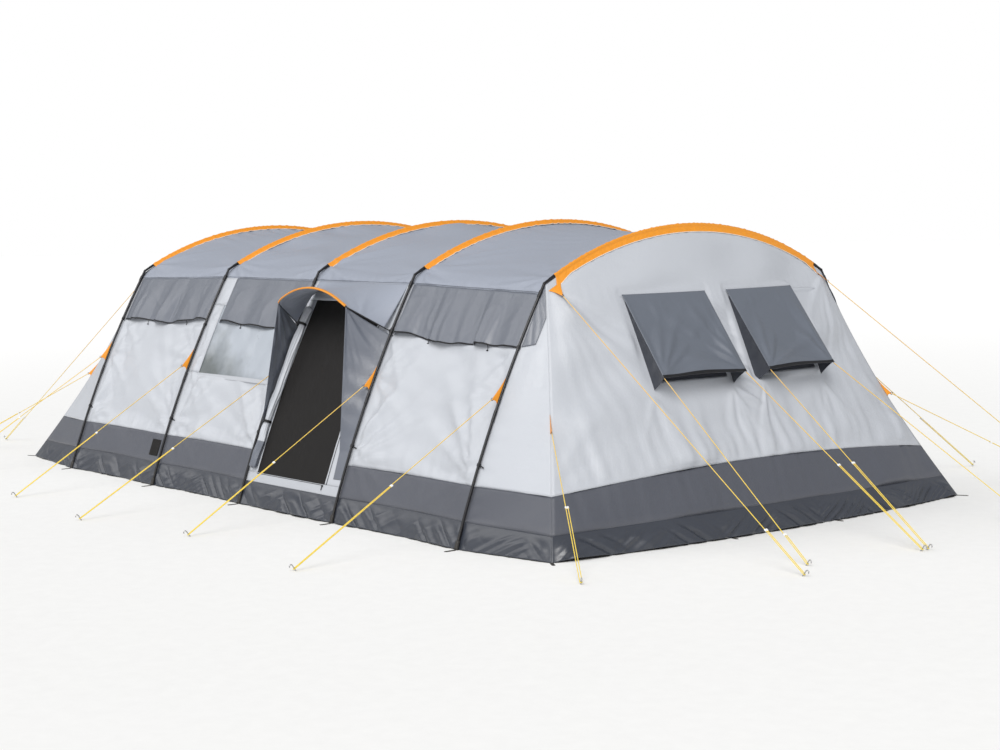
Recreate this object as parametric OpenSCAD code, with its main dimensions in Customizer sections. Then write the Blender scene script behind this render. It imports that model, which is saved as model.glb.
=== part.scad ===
// Five-hoop tunnel tent on poles, with porch, window flaps and guy ropes.
// Millimetres. +X is the front end with two window flaps, -Y the door side, z = 0 the ground.

/* [Length of the tent] */
// Foot of the rear end wall to the first hoop
rear_run = 1080; // [900:10:1250]
// First hoop to the second
bay_1 = 1500; // [1300:10:1700]
// Second hoop to the third
bay_2 = 1400; // [1250:10:1600]
// Third hoop to the fourth, the bay with the door
bay_3 = 1300; // [1250:10:1400]
// Fourth hoop to the fifth
bay_4 = 1500; // [1300:10:1700]
// Fifth hoop to the foot of the front end wall
front_run = 800; // [700:10:950]

/* [Hoops] */
// Half of the width between the feet of a hoop
foot_half = 2190; // [2050:10:2300]
// Half of the width between the shoulders of a hoop
shoulder_half = 1390; // [1300:10:1450]
// Height of the middle hoop's shoulders
shoulder_height = 1775; // [1700:5:1850]
// Height of the middle hoop's crown
ridge_height = 2150; // [2080:5:2220]
// How far the legs bow outward
leg_bow = 50; // [30:5:70]
// How much lower the end hoops stand
end_drop = 35; // [0:5:60]
// Diameter of the roof poles
roof_pole_d = 12.7; // [11:0.1:14]
// Diameter of the tubular legs
leg_d = 19; // [17:0.5:20]
// Wall of the tubular legs
leg_wall = 1.2; // [0.8:0.1:1.5]
// Outer diameter of the shoulder elbows
elbow_d = 26; // [25:0.5:27]
// Length of a socket in an elbow
socket_length = 45; // [35:1:55]
// Shoulder point to the middle of a socket
socket_reach = 80; // [70:1:100]

/* [Cloth] */
// Thickness of the cloth solids
cloth_t = 5; // [4:0.5:6]
// Leg centre line to the outer face of the wall
wall_gap = 15; // [14.5:0.5:20]
// Roof pole centre line to the outer face of the roof
roof_gap = 14; // [13.5:0.5:16]
// Dip of the roof between two hoops
roof_dip = 75; // [40:5:100]
// How far the walls draw in between two legs
wall_draw = 30; // [0:5:45]
// Shoulder down to the lower edge of the roof cloth
roof_drop = 70; // [60:5:90]
// Height of the dark band's upper edge
band_height = 410; // [380:5:450]
// Rise of the band's upper edge at the middle of an end wall
band_rise = 80; // [0:5:100]
// How much lower the band and the mud flap are at the corner seams
corner_drop = 25; // [0:5:40]
// Height of the mud flap
flap_height = 180; // [140:5:200]
// Half of the width of an end wall's foot
corner_half = 2035; // [1950:5:2100]
// How far an end wall's foot curves outward
hem_bulge = 140; // [60:5:200]
// How far an end wall bellies outward
wall_belly = 40; // [0:5:60]
// How far the corner seams draw in towards the middle of the tent, along it
seam_draw_x = 88; // [0:4:100]
// How far the corner seams draw in across the tent
seam_draw_y = 55; // [0:5:65]
// Thickness of the groundsheet
floor_t = 4; // [3:0.5:5]
// Height of the groundsheet's turned-up edge
tray_height = 80; // [50:5:90]
// Width of the sleeve that carries a roof pole
sleeve_w = 104; // [60:2:120]
// How far an end hoop's sleeve laps down over the end wall
sleeve_lap = 32; // [20:2:40]

/* [Porch and door] */
// Doorway's middle, from halfway between its two hoops
door_shift = -40; // [-60:5:10]
// Width of the doorway
door_w = 960; // [900:10:980]
// Height of the doorway's lower edge
door_sill = 250; // [220:5:280]
// Height of the doorway's upper edge
door_head = 1560; // [1500:5:1600]
// How far out the brow pole stands from the legs that carry it
brow_reach = 288; // [240:4:368]
// Half of the width of the brow
brow_half = 465; // [430:5:490]
// Height of the brow's corners
brow_corner_z = 1560; // [1520:5:1600]
// Rise of the brow's bow
brow_rise = 125; // [80:5:150]
// Height of the brow pole's sockets on the legs
brow_socket_z = 1370; // [1300:5:1420]
// Diameter of the brow pole
brow_pole_d = 9; // [8:0.5:10]
// Diameter of the rolled-up door
roll_d = 62; // [50:1:70]

/* [Windows and flaps] */
// Middle of the end wall to a window flap's near edge
flap_in = 107; // [90:1:130]
// Middle of the end wall to a window flap's far edge
flap_out = 845; // [800:1:870]
// Height of the window flaps' upper edge
flap_top = 1643; // [1620:1:1660]
// Length of a window flap
flap_len = 700; // [600:5:740]
// Angle between a window flap and the wall
flap_angle = 12; // [8:1:30]
// Margin of the wall round an end window
window_margin = 45; // [30:1:60]
// Height of the end windows' lower edge
window_low = 1055; // [1020:5:1100]
// Height of the side window's lower edge
side_window_low = 930; // [900:5:960]
// Height of the side window's upper edge
side_window_high = 1480; // [1400:5:1520]
// Drop of the valances that hang from the roof's edge
valance_drop = 365; // [330:5:380]
// Space between the wall and a valance
valance_gap = 1; // [0.5:0.1:2]

/* [Guy ropes] */
// Diameter of a guy rope
rope_d = 6; // [5:0.5:6.5]
// Diameter of a peg
peg_d = 8; // [7:0.5:9]
// Height of a rope's loop on its peg
loop_height = 20; // [16:1:26]
// Length of a runner
runner_len = 16; // [12:1:24]
// Clearance of a rope in its runner
runner_play = 0.5; // [0.3:0.1:0.8]

/* [Hidden] */

NEAR = -1;
FAR = 1;
seam = 0.3;
ORANGE = [0.98, 0.55, 0.12];
SILVER = [0.83, 0.85, 0.88];
SLATE = [0.40, 0.42, 0.46];
ROOF = [0.52, 0.54, 0.58];
CHARCOAL = [0.24, 0.25, 0.27];
BLACK = [0.08, 0.08, 0.09];
ROPE = [1.0, 0.78, 0.25];

tent_length = rear_run + bay_1 + bay_2 + bay_3 + bay_4 + front_run;
first_x = rear_run - tent_length / 2;
hoop_x = [first_x, first_x + bay_1, first_x + bay_1 + bay_2, first_x + bay_1 + bay_2 + bay_3,
    first_x + bay_1 + bay_2 + bay_3 + bay_4];
roof_rise = ridge_height - shoulder_height;
roof_r = (shoulder_half ^ 2 + roof_rise ^ 2) / (2 * roof_rise);
roof_angle = asin(shoulder_half / roof_r);

// ---------- helpers ----------
function unit(v) = v / norm(v);
function mix(a, b, t) = a + (b - a) * t;
function steps(n) = [for (k = [0:n]) k / n];
function back_steps(n) = [for (j = [n:-1:0]) j / n];
function turn_about(v, axis, a) =
    v * cos(a) + cross(axis, v) * sin(a) + axis * (axis * v) * (1 - cos(a));
function drop_at(k) = k == 0 || k == 4 ? end_drop : 0;
function shoulder_z(x) = lookup(x, [for (k = [0:4]) [hoop_x[k], shoulder_height - drop_at(k)]]);
function ridge_z(x) = shoulder_z(x) + roof_rise;
function edge_z(x) = shoulder_z(x) - roof_drop;

// A leg is an arc through its foot and its shoulder: radius, centre, half-width at a height
function leg_span(zs) = norm([foot_half - shoulder_half, zs]);
function leg_r(zs) = (leg_span(zs) ^ 2 / 4 + leg_bow ^ 2) / (2 * leg_bow);
function leg_centre(zs) = [(foot_half + shoulder_half) / 2, zs / 2]
    - [zs, foot_half - shoulder_half] / leg_span(zs) * (leg_r(zs) - leg_bow);
function leg_angle(z, zs, inset = 0) = asin((z - leg_centre(zs)[1]) / (leg_r(zs) - inset));
function leg_y(z, zs, inset = 0) =
    leg_centre(zs)[0] + (leg_r(zs) - inset) * cos(leg_angle(z, zs, inset));

// Stands children on their own Z axis at a point along a direction; their Y stays level
module along(p, v)
    translate(p) rotate([0, acos(v[2] / norm(v)), atan2(v[1], v[0])]) children();
module rod(a, b, d) along(a, b - a) cylinder(d = d, h = norm(b - a), $fn = 24);
// Sweeps a profile (radius, place along X) round an axis along X, from angle a0 to a1 above +Y
module around(x, c, a0, a1)
    translate([x, c[0], c[1]]) rotate([90, 0, 90]) rotate([0, 0, a0])
        rotate_extrude(angle = a1 - a0, $fn = 240) children();

// ---------- cloth ----------
function has(keep, r, c) = r >= 0 && c >= 0 && r < len(keep) && c < len(keep[0]) && keep[r][c];
function full(nr, nc) = [for (r = [1:nr]) [for (c = [1:nc]) true]];
function wall_of(p, q, n) = [[q + n, p + n, p], [q + n, p, q]];
function cell_faces(a, b, c, d, n, low, right, high, left) = concat(
    [[a, d, c], [a, c, b], [a + n, b + n, c + n], [a + n, c + n, d + n]],
    low ? [] : wall_of(a, b, n), right ? [] : wall_of(b, c, n),
    high ? [] : wall_of(c, d, n), left ? [] : wall_of(d, a, n));
// A closed sheet between an outer and an inner grid of points; keep says which cells exist
module cloth(outer, inner, keep) {
    nr = len(outer) - 1;
    nc = len(outer[0]) - 1;
    m = nc + 1;
    n = (nr + 1) * m;
    points = concat([for (row = outer) each row], [for (row = inner) each row]);
    faces = [for (r = [0:nr - 1]) for (c = [0:nc - 1]) if (has(keep, r, c))
        each cell_faces(r * m + c, r * m + c + 1, (r + 1) * m + c + 1, (r + 1) * m + c, n,
            has(keep, r - 1, c), has(keep, r, c + 1), has(keep, r + 1, c), has(keep, r, c - 1))];
    polyhedron(points, faces, convexity = 6);
}
module sheet(outer, inner) cloth(outer, inner, full(len(outer) - 1, len(outer[0]) - 1));
// A flat three-cornered piece of cloth
module tri_plate(a, b, c, t) {
    n = unit(cross(b - a, c - a)) * t / 2;
    polyhedron([a - n, b - n, c - n, a + n, b + n, c + n],
        [[0, 1, 2], [5, 4, 3], [1, 0, 3, 4], [2, 1, 4, 5], [0, 2, 5, 3]]);
}
// A tube of cloth or pole along a path of points, with sides flat sides
module tube(path, r, sides = 8) {
    n = len(path);
    function dir(k) = unit(path[min(k + 1, n - 1)] - path[max(k - 1, 0)]);
    function ring(k) = let (d = dir(k), e = unit(cross(d, [0, 1, 0.2])), f = cross(d, e))
        [for (a = [0:sides - 1]) path[k] + r * (cos(a * 360 / sides) * e + sin(a * 360 / sides) * f)];
    points = [for (k = [0:n - 1]) each ring(k)];
    faces = concat([[for (a = [0:sides - 1]) a]],
        [[for (a = [sides - 1:-1:0]) (n - 1) * sides + a]],
        [for (k = [0:n - 2]) for (a = [0:sides - 1]) let (b = (a + 1) % sides)
            each [[k * sides + a, (k + 1) * sides + a, (k + 1) * sides + b],
                [k * sides + a, (k + 1) * sides + b, k * sides + b]]]);
    polyhedron(points, faces, convexity = 6);
}

// Side walls. A point of the wall at bay k, share u of the bay, height z, and its depth inward
bay_draw = [wall_draw, wall_draw, 0, wall_draw];
function side_x(k, u) = mix(hoop_x[k] + seam / 2, hoop_x[k + 1] - seam / 2, u);
function draw_in(k, u, z) = bay_draw[k] * 4 * u * (1 - u) * max(0, 1 - (z / edge_z(side_x(k, u))) ^ 2);
function side_pt(k, u, z, side, depth = 0) = let (x = side_x(k, u), zs = shoulder_z(x),
    a = leg_angle(z, zs, wall_gap))
    [x, side * (leg_y(z, zs, wall_gap) - draw_in(k, u, z) - depth * cos(a)), z - depth * sin(a)];
function side_grid(k, us, zs, side, depth) = [for (z = zs)
    [for (u = (side == NEAR ? us : [for (j = [len(us) - 1:-1:0]) us[j]]))
        side_pt(k, u, min(z, edge_z(side_x(k, u)) - seam), side, depth)]];
module side_sheet(k, us, zs, side, keep, depth = 0, t = cloth_t)
    cloth(side_grid(k, us, zs, side, depth), side_grid(k, us, zs, side, depth + t), keep);
module side_band(k, zs, side, n = 6)
    side_sheet(k, steps(n), zs, side, full(len(zs) - 1, n));
TOP = 9999;
function heights(z0, z1, n) = [for (t = steps(n)) mix(z0, z1, t)];
function upper_heights(n) = concat(heights(band_height + seam, shoulder_height - end_drop - 200, n), [TOP]);

// End walls. e = 1 is the front, e = -1 the rear; u runs across, z is the height
function end_x(e) = e > 0 ? hoop_x[4] : hoop_x[0];
function end_run(e) = e > 0 ? front_run : rear_run;
end_r = roof_r - roof_gap;
end_half = end_r * sin(roof_angle);
function end_top(u) = ridge_height - end_drop - roof_r + sqrt(end_r ^ 2 - (end_half * u) ^ 2);
function end_v(u, z) = 1 - min(z, end_top(u)) / end_top(u);
function end_width(v) = mix(end_half, corner_half, v) - seam_draw_y * sin(180 * v);
function end_pt(e, u, z, depth = 0) = let (v = end_v(u, z))
    [end_x(e) + e * (seam + cloth_t + v * (end_run(e) + hem_bulge * (1 - u * u))
        + (wall_belly - seam_draw_x * u ^ 4) * sin(180 * v) - depth), u * end_width(v), min(z, end_top(u))];
function find_u(y, z, u, n) = n == 0 ? u : find_u(y, z, y / end_width(end_v(u, z)), n - 1);
function end_u(y, z) = find_u(y, z, y / foot_half, 8);
function band_z(u) = band_height - corner_drop + (band_rise + corner_drop) * (1 - u * u);
function flap_z(u) = flap_height - corner_drop * u * u;
// Height of a row: below 1 the band, 1 to 2 up to the windows, 2 to 3 the windows, 3 to 4 the crown
win_top = flap_top - window_margin;
function row_z(u, k) = k <= 1 ? mix(flap_z(u) + seam, band_z(u), k)
    : k <= 2 ? mix(band_z(u) + seam, window_low, k - 1)
    : k <= 3 ? mix(window_low, win_top, k - 2) : mix(win_top, end_top(u), k - 3);
// Columns: 0 to 1 up to the first window, 1 to 2 the window, 2 to 3 between the windows, and so on
win_y = [flap_out - window_margin, flap_in + window_margin];
function column_u(k, zk) = let (ys = [-1, -win_y[0], -win_y[1], win_y[1], win_y[0], 1], j = min(floor(k), 4),
    ua = j == 0 ? -1 : end_u(ys[j], row_z(ys[j] / foot_half, zk)),
    ub = j == 4 ? 1 : end_u(ys[j + 1], row_z(ys[j + 1] / foot_half, zk))) mix(ua, ub, k - j);
columns = [0, 0.5, 1, 1.25, 1.5, 1.75, 2, 2.5, 3, 3.25, 3.5, 3.75, 4, 4.5, 5];
function across(e, cols) = e > 0 ? cols : [for (j = [len(cols) - 1:-1:0]) cols[j]];
function end_grid(e, rows, cols, depth) = [for (r = rows)
    [for (c = across(e, cols)) let (u = column_u(c, r)) end_pt(e, u, row_z(u, r), depth)]];
module end_sheet(e, rows, cols, keep, depth = 0, t = cloth_t)
    cloth(end_grid(e, rows, cols, depth), end_grid(e, rows, cols, depth + t), keep);

// Gore between the end hoop's leg and the end wall's seam; q is a row's height at the leg and at the seam
function gore_pt(e, side, s, q, depth) = let (xs = end_x(e), zs = shoulder_z(xs), tip = end_pt(e, side, q[1]),
    a = leg_angle(q[0], zs, wall_gap), leg = leg_y(q[0], zs, wall_gap))
    [xs + e * mix(seam / 2, max(e * (tip[0] - xs) - cloth_t - seam, seam), s),
        side * (mix(leg, side * tip[1], s) - depth * cos(a)), mix(q[0], q[1], s) - depth * sin(a)];
function gore_grid(e, side, n, zs, depth) = [for (z = zs) [for (s = (e * side < 0 ? steps(n)
    : [for (j = [n:-1:0]) j / n])) gore_pt(e, side, s, z, depth)]];
module gore(e, side, zs, n = 3) sheet(gore_grid(e, side, n, zs, 0), gore_grid(e, side, n, zs, cloth_t));

// Roof. t runs 0 to 1 over the near shoulder, 1 to 2 over the arc, 2 to 3 over the far shoulder
crown_angle = roof_angle - 2.5;
function near_bend(x, t) = let (zs = shoulder_z(x), cz = ridge_z(x) - roof_r, ze = edge_z(x),
    a = leg_angle(ze, zs, wall_gap), p0 = [-leg_y(ze, zs, wall_gap), ze], d0 = [sin(a), cos(a)],
    p2 = [-end_r * sin(crown_angle), cz + end_r * cos(crown_angle)], d2 = [-cos(crown_angle), -sin(crown_angle)],
    w = p0 - p2, s = (w[0] * d0[1] - w[1] * d0[0]) / (d2[0] * d0[1] - d2[1] * d0[0]), p1 = p2 + s * d2,
    p = (1 - t) ^ 2 * p0 + 2 * t * (1 - t) * p1 + t * t * p2,
    d = unit(2 * (1 - t) * (p1 - p0) + 2 * t * (p2 - p1))) [p[0], p[1], -d[1], d[0]];
function roof_section(x, t) = t < 1 ? near_bend(x, t)
    : t > 2 ? let (q = near_bend(x, 3 - t)) [-q[0], q[1], -q[2], q[3]]
    : let (a = mix(-crown_angle, crown_angle, t - 1), cz = ridge_z(x) - roof_r)
        [end_r * sin(a), cz + end_r * cos(a), sin(a), cos(a)];
function dip_share(t) = t < 1 ? 0.3 * t : t > 2 ? 0.3 * (3 - t) : 0.3 + 0.7 * sin(180 * (t - 1));
function roof_pt(k, u, t, depth) = let (x = side_x(k, u), q = roof_section(x, t))
    [x, q[0] - depth * q[2], q[1] - depth * q[3] - roof_dip * 4 * u * (1 - u) * dip_share(t)];
roof_rows = concat([0, 0.25, 0.5, 0.75], [for (k = [0:12]) 1 + k / 12], [2.25, 2.5, 2.75, 3]);
function roof_grid(k, depth) = [for (t = roof_rows) [for (u = steps(6)) roof_pt(k, u, t, depth)]];
module roof_panel(k) color(ROOF) sheet(roof_grid(k, 0), roof_grid(k, cloth_t));

// ---------- poles ----------
module roof_poles() color(BLACK)
    for (x = hoop_x) around(x, [0, ridge_z(x) - roof_r], 90 - pole_end, 90 + pole_end)
        translate([roof_r, 0]) circle(d = roof_pole_d, $fn = 32);
socket_back = socket_reach - socket_length / 2;
pole_end = roof_angle - (socket_back + 2) * 180 / PI / roof_r;

module leg_poles() color(BLACK) for (x = hoop_x, side = [0, 1]) mirror([0, side, 0]) leg_pole(x);
foot_z = 8;
module leg_pole(x) {
    zs = shoulder_z(x);
    r = leg_r(zs);
    a0 = leg_angle(foot_z, zs);
    a1 = leg_angle(zs, zs) - (socket_back + 2) * 180 / PI / r;
    joint = (a0 + a1) / 2;
    around(x, leg_centre(zs), a0, a1) translate([r, 0]) difference() {
        circle(d = leg_d, $fn = 32);
        circle(d = leg_d - 2 * leg_wall, $fn = 32);
    }
    around(x, leg_centre(zs), joint - 0.25, joint + 0.25) translate([r, 0]) difference() {
        circle(d = leg_d + 3, $fn = 32);
        circle(d = leg_d - 0.4, $fn = 32);
    }
}

// Elbow: two sockets and a knee, open to the pole ends
module shoulder_elbows() color(BLACK) for (x = hoop_x, side = [0, 1]) mirror([0, side, 0]) elbow(x);
function on_roof(x, a) = [x, roof_r * sin(a), ridge_z(x) - roof_r + roof_r * cos(a)];
function on_leg(x, a) = let (zs = shoulder_z(x), c = leg_centre(zs), r = leg_r(zs))
    [x, c[0] + r * cos(a), c[1] + r * sin(a)];
module elbow(x) {
    zs = shoulder_z(x);
    ar = roof_angle - socket_reach * 180 / PI / roof_r;
    al = leg_angle(zs, zs) - socket_reach * 180 / PI / leg_r(zs);
    knee = [x, shoulder_half, zs];
    roof_dir = [0, -cos(ar), sin(ar)];
    leg_dir = [0, sin(al), -cos(al)];
    difference() {
        union() {
            translate(knee) sphere(d = elbow_d - 4, $fn = 32);
            rod(knee, on_roof(x, ar) - roof_dir * socket_length * 0.4, elbow_d - 7);
            rod(knee, on_leg(x, al) - leg_dir * socket_length * 0.4, elbow_d - 7);
            along(on_roof(x, ar) - roof_dir * socket_length / 2, roof_dir)
                cylinder(d = elbow_d - 5, h = socket_length, $fn = 32);
            along(on_leg(x, al) - leg_dir * socket_length / 2, leg_dir)
                cylinder(d = elbow_d, h = socket_length, $fn = 32);
        }
        along(on_roof(x, ar) - roof_dir * (socket_length / 2 + 1), roof_dir)
            cylinder(d = roof_pole_d + 0.6, h = socket_length + 2, $fn = 32);
        along(on_leg(x, al) - leg_dir * (socket_length / 2 + 1), leg_dir)
            cylinder(d = leg_d + 0.6, h = socket_length + 2, $fn = 32);
    }
}

// Foot: a disc on the ground with a pin that stands in the leg
pin_d = leg_d - 2 * leg_wall - 0.6;
module pin_feet() color(CHARCOAL) for (x = hoop_x, side = [0, 1]) mirror([0, side, 0]) pin_foot(x);
module pin_foot(x) {
    zs = shoulder_z(x);
    a = leg_angle(foot_z + 25, zs);
    dir = [0, -sin(a), cos(a)];
    mid = on_leg(x, a);
    translate([x, leg_y(0, zs), 0]) cylinder(d = leg_d + 7, h = 4, $fn = 32);
    rod(mid - dir * (mid[2] - 3) / dir[2], mid + dir * 22, pin_d);
}

// Clips: open rings on the legs, each with a tab to the wall
clip_heights = [550, 1320];
module pole_clips() color(BLACK)
    for (x = hoop_x, z = clip_heights, side = [NEAR, FAR])
        if (z < 1000 || side == FAR || (x != hoop_x[2] && x != hoop_x[3]))
            mirror([0, side == NEAR ? 1 : 0, 0]) pole_clip(x, z);
module pole_clip(x, z) {
    zs = shoulder_z(x);
    a = leg_angle(z, zs);
    out = [0, cos(a), sin(a)];
    up = [0, -sin(a), cos(a)];
    translate(on_leg(x, a) - up * 11) rotate([a, 0, 0]) {
        difference() {
            cylinder(d = leg_d + 8, h = 22, $fn = 32);
            translate([0, 0, -1]) cylinder(d = leg_d + 0.8, h = 24, $fn = 32);
            translate([0, 0, -1]) rotate([0, 0, 50]) cube([leg_d, leg_d, 24]);
        }
        translate([-6, -wall_gap + seam, 4]) cube([12, wall_gap - seam - leg_d / 2 - 1, 14]);
    }
}

// Brow pole: two arms from the legs and a bow between them
brow_mid = (hoop_x[2] + hoop_x[3]) / 2;
brow_out = leg_y(brow_socket_z, shoulder_z(brow_mid)) + brow_reach;
brow_arc_r = (brow_half ^ 2 + brow_rise ^ 2) / (2 * brow_rise);
function brow_foot(s) = let (x = s < 0 ? hoop_x[2] : hoop_x[3])
    [x - s * 30, -leg_y(brow_socket_z, shoulder_z(x)), brow_socket_z];
function brow_raw(t) = let (c = [for (s = [-1, 1]) [brow_mid + s * brow_half, -brow_out, brow_corner_z]])
    t < 0.25 ? mix(brow_foot(-1), c[0], max(0, t) / 0.25)
    : t > 0.75 ? mix(c[1], brow_foot(1), (min(1, t) - 0.75) / 0.25)
    : let (a = mix(-1, 1, (t - 0.25) / 0.5) * asin(brow_half / brow_arc_r))
        [brow_mid + brow_arc_r * sin(a), -brow_out, brow_corner_z + brow_rise - brow_arc_r + brow_arc_r * cos(a)];
function brow_pt(t) = let (w = min(0.03, t, 1 - t)) (brow_raw(t - w) + 2 * brow_raw(t) + brow_raw(t + w)) / 4;
// Square to the brow pole, in the upright plane through it
function brow_up(t) = let (d = unit(brow_pt(t + 0.002) - brow_pt(t - 0.002))) unit([0, 0, 1] - d * d[2]);
module brow_pole() color(BLACK) tube([for (t = steps(36)) brow_pt(t)], brow_pole_d / 2);
// Sockets: blocks clipped round the legs that take the brow pole's ends
module brow_sockets() color(BLACK) for (s = [-1, 1]) brow_socket(s);
module brow_socket(s) {
    x = s < 0 ? hoop_x[2] : hoop_x[3];
    zs = shoulder_z(x);
    a = leg_angle(brow_socket_z, zs);
    p = brow_foot(s);
    translate([x, p[1], p[2]]) rotate([-a, 0, 0]) difference() {
        union() {
            translate([0, 0, -20]) cylinder(d = leg_d + 7, h = 40, $fn = 32);
            translate([-s * 20 - 10, -8, -9]) cube([20, 16, 18]);
        }
        translate([0, 0, -21]) cylinder(d = leg_d + 0.8, h = 42, $fn = 32);
        translate([-s * 30 - 6, -9, -10]) cube([12 , 18, 20]);
    }
}

// ---------- sleeves ----------
module pole_sleeves() color(ORANGE) for (x = hoop_x) pole_sleeve(x);
sleeve_end = roof_angle - (socket_reach + socket_length / 2 + 5) * 180 / PI / roof_r;
module pole_sleeve(x) difference() {
    around(x, [0, ridge_z(x) - roof_r], 90 - sleeve_end, 90 + sleeve_end)
        translate([roof_r, 0]) polygon(concat(sleeve_side(x, -1), sleeve_side(x, 1)));
    around(x, [0, ridge_z(x) - roof_r], 89 - sleeve_end, 91 + sleeve_end)
        translate([roof_r, 0]) circle(d = roof_pole_d + 0.8, $fn = 32);
}
// Half of the sleeve's section: a wing on the roof, or a lap down over the end wall, and the round of the sleeve
lap_slope = 0.7;
lap_x = cloth_t + 2 * seam + 1.5;
function sleeve_side(x, s) = let (low = -roof_gap + seam,
    foot = [-roof_gap - sleeve_lap, -lap_x - lap_slope * sleeve_lap],
    wing = (s < 0 && x == hoop_x[0]) || (s > 0 && x == hoop_x[4])
        ? [[low, -lap_x], foot, foot - [0, 2], [low + 2, -lap_x - 4]]
        : [[low, -6], [low - sleeve_fall, -sleeve_w / 2], [low - sleeve_fall + 1.5, -sleeve_w / 2]],
    half = concat(wing, [[0, -11], [6, -8.5], [9.3, -3]]), n = len(half))
    s < 0 ? half : [for (k = [n - 1:-1:0]) [half[k][0], -half[k][1]]];
sleeve_fall = 1;

// ---------- roof, walls, band, flap, floor ----------
module roof_panel_1() roof_panel(0);
module roof_panel_2() roof_panel(1);
module roof_panel_3() roof_panel(2);
module roof_panel_4() roof_panel(3);
module near_wall_1() color(SILVER) side_band(0, upper_heights(6), NEAR);
module near_wall_4() color(SILVER) side_band(3, upper_heights(6), NEAR);
// Share of a bay at a distance from the hoop behind it
function share(k, d) = d / (hoop_x[k + 1] - hoop_x[k]);
side_window_start = 160;
side_window_end = 1260;
window_us = [0, share(1, side_window_start / 2), share(1, side_window_start), share(1, 435), share(1, 710),
    share(1, 985), share(1, side_window_end), 1];
window_zs = concat([band_height + seam, 670], heights(side_window_low, side_window_high, 3), [TOP]);
window_hole = [for (r = [0:5]) [for (c = [0:6]) !(r >= 2 && r <= 4 && c >= 2 && c <= 5)]];
module near_wall_2() color(SILVER) side_sheet(1, window_us, window_zs, NEAR, window_hole);
module side_window_pane() color([0.75, 0.8, 0.78, 0.6])
    side_sheet(1, [for (c = [0:4]) share(1, mix(side_window_start + seam, side_window_end - seam, c / 4))],
        heights(side_window_low + seam, side_window_high - seam, 3), NEAR, full(3, 4), cloth_t / 2 - 1, 2);

// Door bay: jambs and head round the doorway
door_x0 = brow_mid + door_shift - door_w / 2;
function door_share(d) = (door_x0 + d - side_x(2, 0)) / (side_x(2, 1) - side_x(2, 0));
door_us = [0, door_share(0), door_share(door_w / 3), door_share(door_w * 2 / 3), door_share(door_w), 1];
door_zs = concat(heights(door_sill, door_head, 6), [TOP]);
door_hole = [for (r = [0:6]) [for (c = [0:4]) !(r <= 5 && c >= 1 && c <= 3)]];
module door_wall() color(SILVER) side_sheet(2, door_us, door_zs, NEAR, door_hole);
module door_sill_strip() color(SILVER) side_band(2, [flap_height + seam, door_sill - seam], NEAR, 2);

module far_wall() color(SILVER) for (k = [0:3]) side_band(k, upper_heights(5), FAR);

upper_rows = [1.001, 1.17, 1.33, 1.5, 1.67, 1.83, 2, 2.33, 2.67, 3, 3.5, 4];
function in_window(r, c) = r >= 6 && r <= 8 && ((c >= 2 && c <= 5) || (c >= 8 && c <= 11));
front_keep = [for (r = [0:10]) [for (c = [0:13]) !in_window(r, c)]];
module front_wall() color(SILVER) end_sheet(1, upper_rows, columns, front_keep);
module rear_wall() color(SILVER) end_sheet(-1, upper_rows, columns, full(11, 14));
module front_window_panes() color([0.6, 0.66, 0.66, 0.6]) for (c0 = [1, 3])
    end_sheet(1, [2.0006, 2.33, 2.67, 2.9994], [c0 + 0.0005, c0 + 0.25, c0 + 0.5, c0 + 0.75, c0 + 0.9995],
        full(3, 4), cloth_t / 2 - 1, 2);

ends = [[1, NEAR], [1, FAR], [-1, NEAR], [-1, FAR]];
// A gore's rows meet the end wall's rows on the seam
gore_top = edge_z(hoop_x[4]) - seam;
gore_heights = [for (k = upper_rows) let (z = min(row_z(1, k), end_top(1) - seam), z0 = row_z(1, upper_rows[0]))
    [mix(band_height + seam, gore_top, (z - z0) / (end_top(1) - seam - z0)), z]];
module corner_gores() color(SILVER) for (g = ends) gore(g[0], g[1], gore_heights);
band_heights = heights(flap_height + seam, band_height, 2);
band_rows = [0, 0.5, 1];
module ground_band() color(SLATE) {
    for (g = ends)
        gore(g[0], g[1], [for (k = band_rows) [mix(flap_height + seam, band_height, k), row_z(1, k)]]);
    for (k = [0:3]) side_band(k, band_heights, FAR);
    for (k = [0, 1, 3]) side_band(k, band_heights, NEAR);
    for (e = [1, -1]) end_sheet(e, band_rows, columns, full(2, 14));
}
flap_heights = [0, 60, 120, flap_height];
function flap_grid(e, depth) = [for (z = flap_heights) [for (c = across(e, columns))
    let (u = column_u(c, 0)) end_pt(e, u, z * flap_z(u) / flap_height, depth)]];
module mud_flap() color(CHARCOAL) {
    for (g = ends) gore(g[0], g[1], [for (h = flap_heights) let (z = min(h + cloth_t * 0.36, flap_height))
        [z, z * flap_z(1) / flap_height]]);
    for (k = [0:3], side = [NEAR, FAR])
        side_band(k, [for (z = flap_heights) min(z + cloth_t * 0.36, flap_height)], side);
    for (e = [1, -1]) sheet(flap_grid(e, 0), flap_grid(e, cloth_t));
}

// Outline of the walls' inner face at the ground, drawn in by an inset
function side_foot(side, inset) = [for (k = [0:3], u = [0:5])
    let (p = side_pt(k, u / 6, 0, side)) [p[0], side * (abs(p[1]) - inset)]];
function end_foot(e, inset) = [for (c = across(e, columns)) let (p = end_pt(e, column_u(c, 0), 0))
    [p[0] - e * inset, p[1] * (1 - inset / corner_half)]];
module floor_shape(inset) polygon(concat(side_foot(NEAR, inset), end_foot(1, inset),
    [for (j = [23:-1:0]) side_foot(FAR, inset)[j]], end_foot(-1, inset)));
tray_inset = 66;
module groundsheet() color(CHARCOAL) {
    linear_extrude(floor_t) floor_shape(cloth_t + 2.8);
    linear_extrude(tray_height) difference() {
        floor_shape(tray_inset);
        floor_shape(tray_inset + 5);
    }
}

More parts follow.
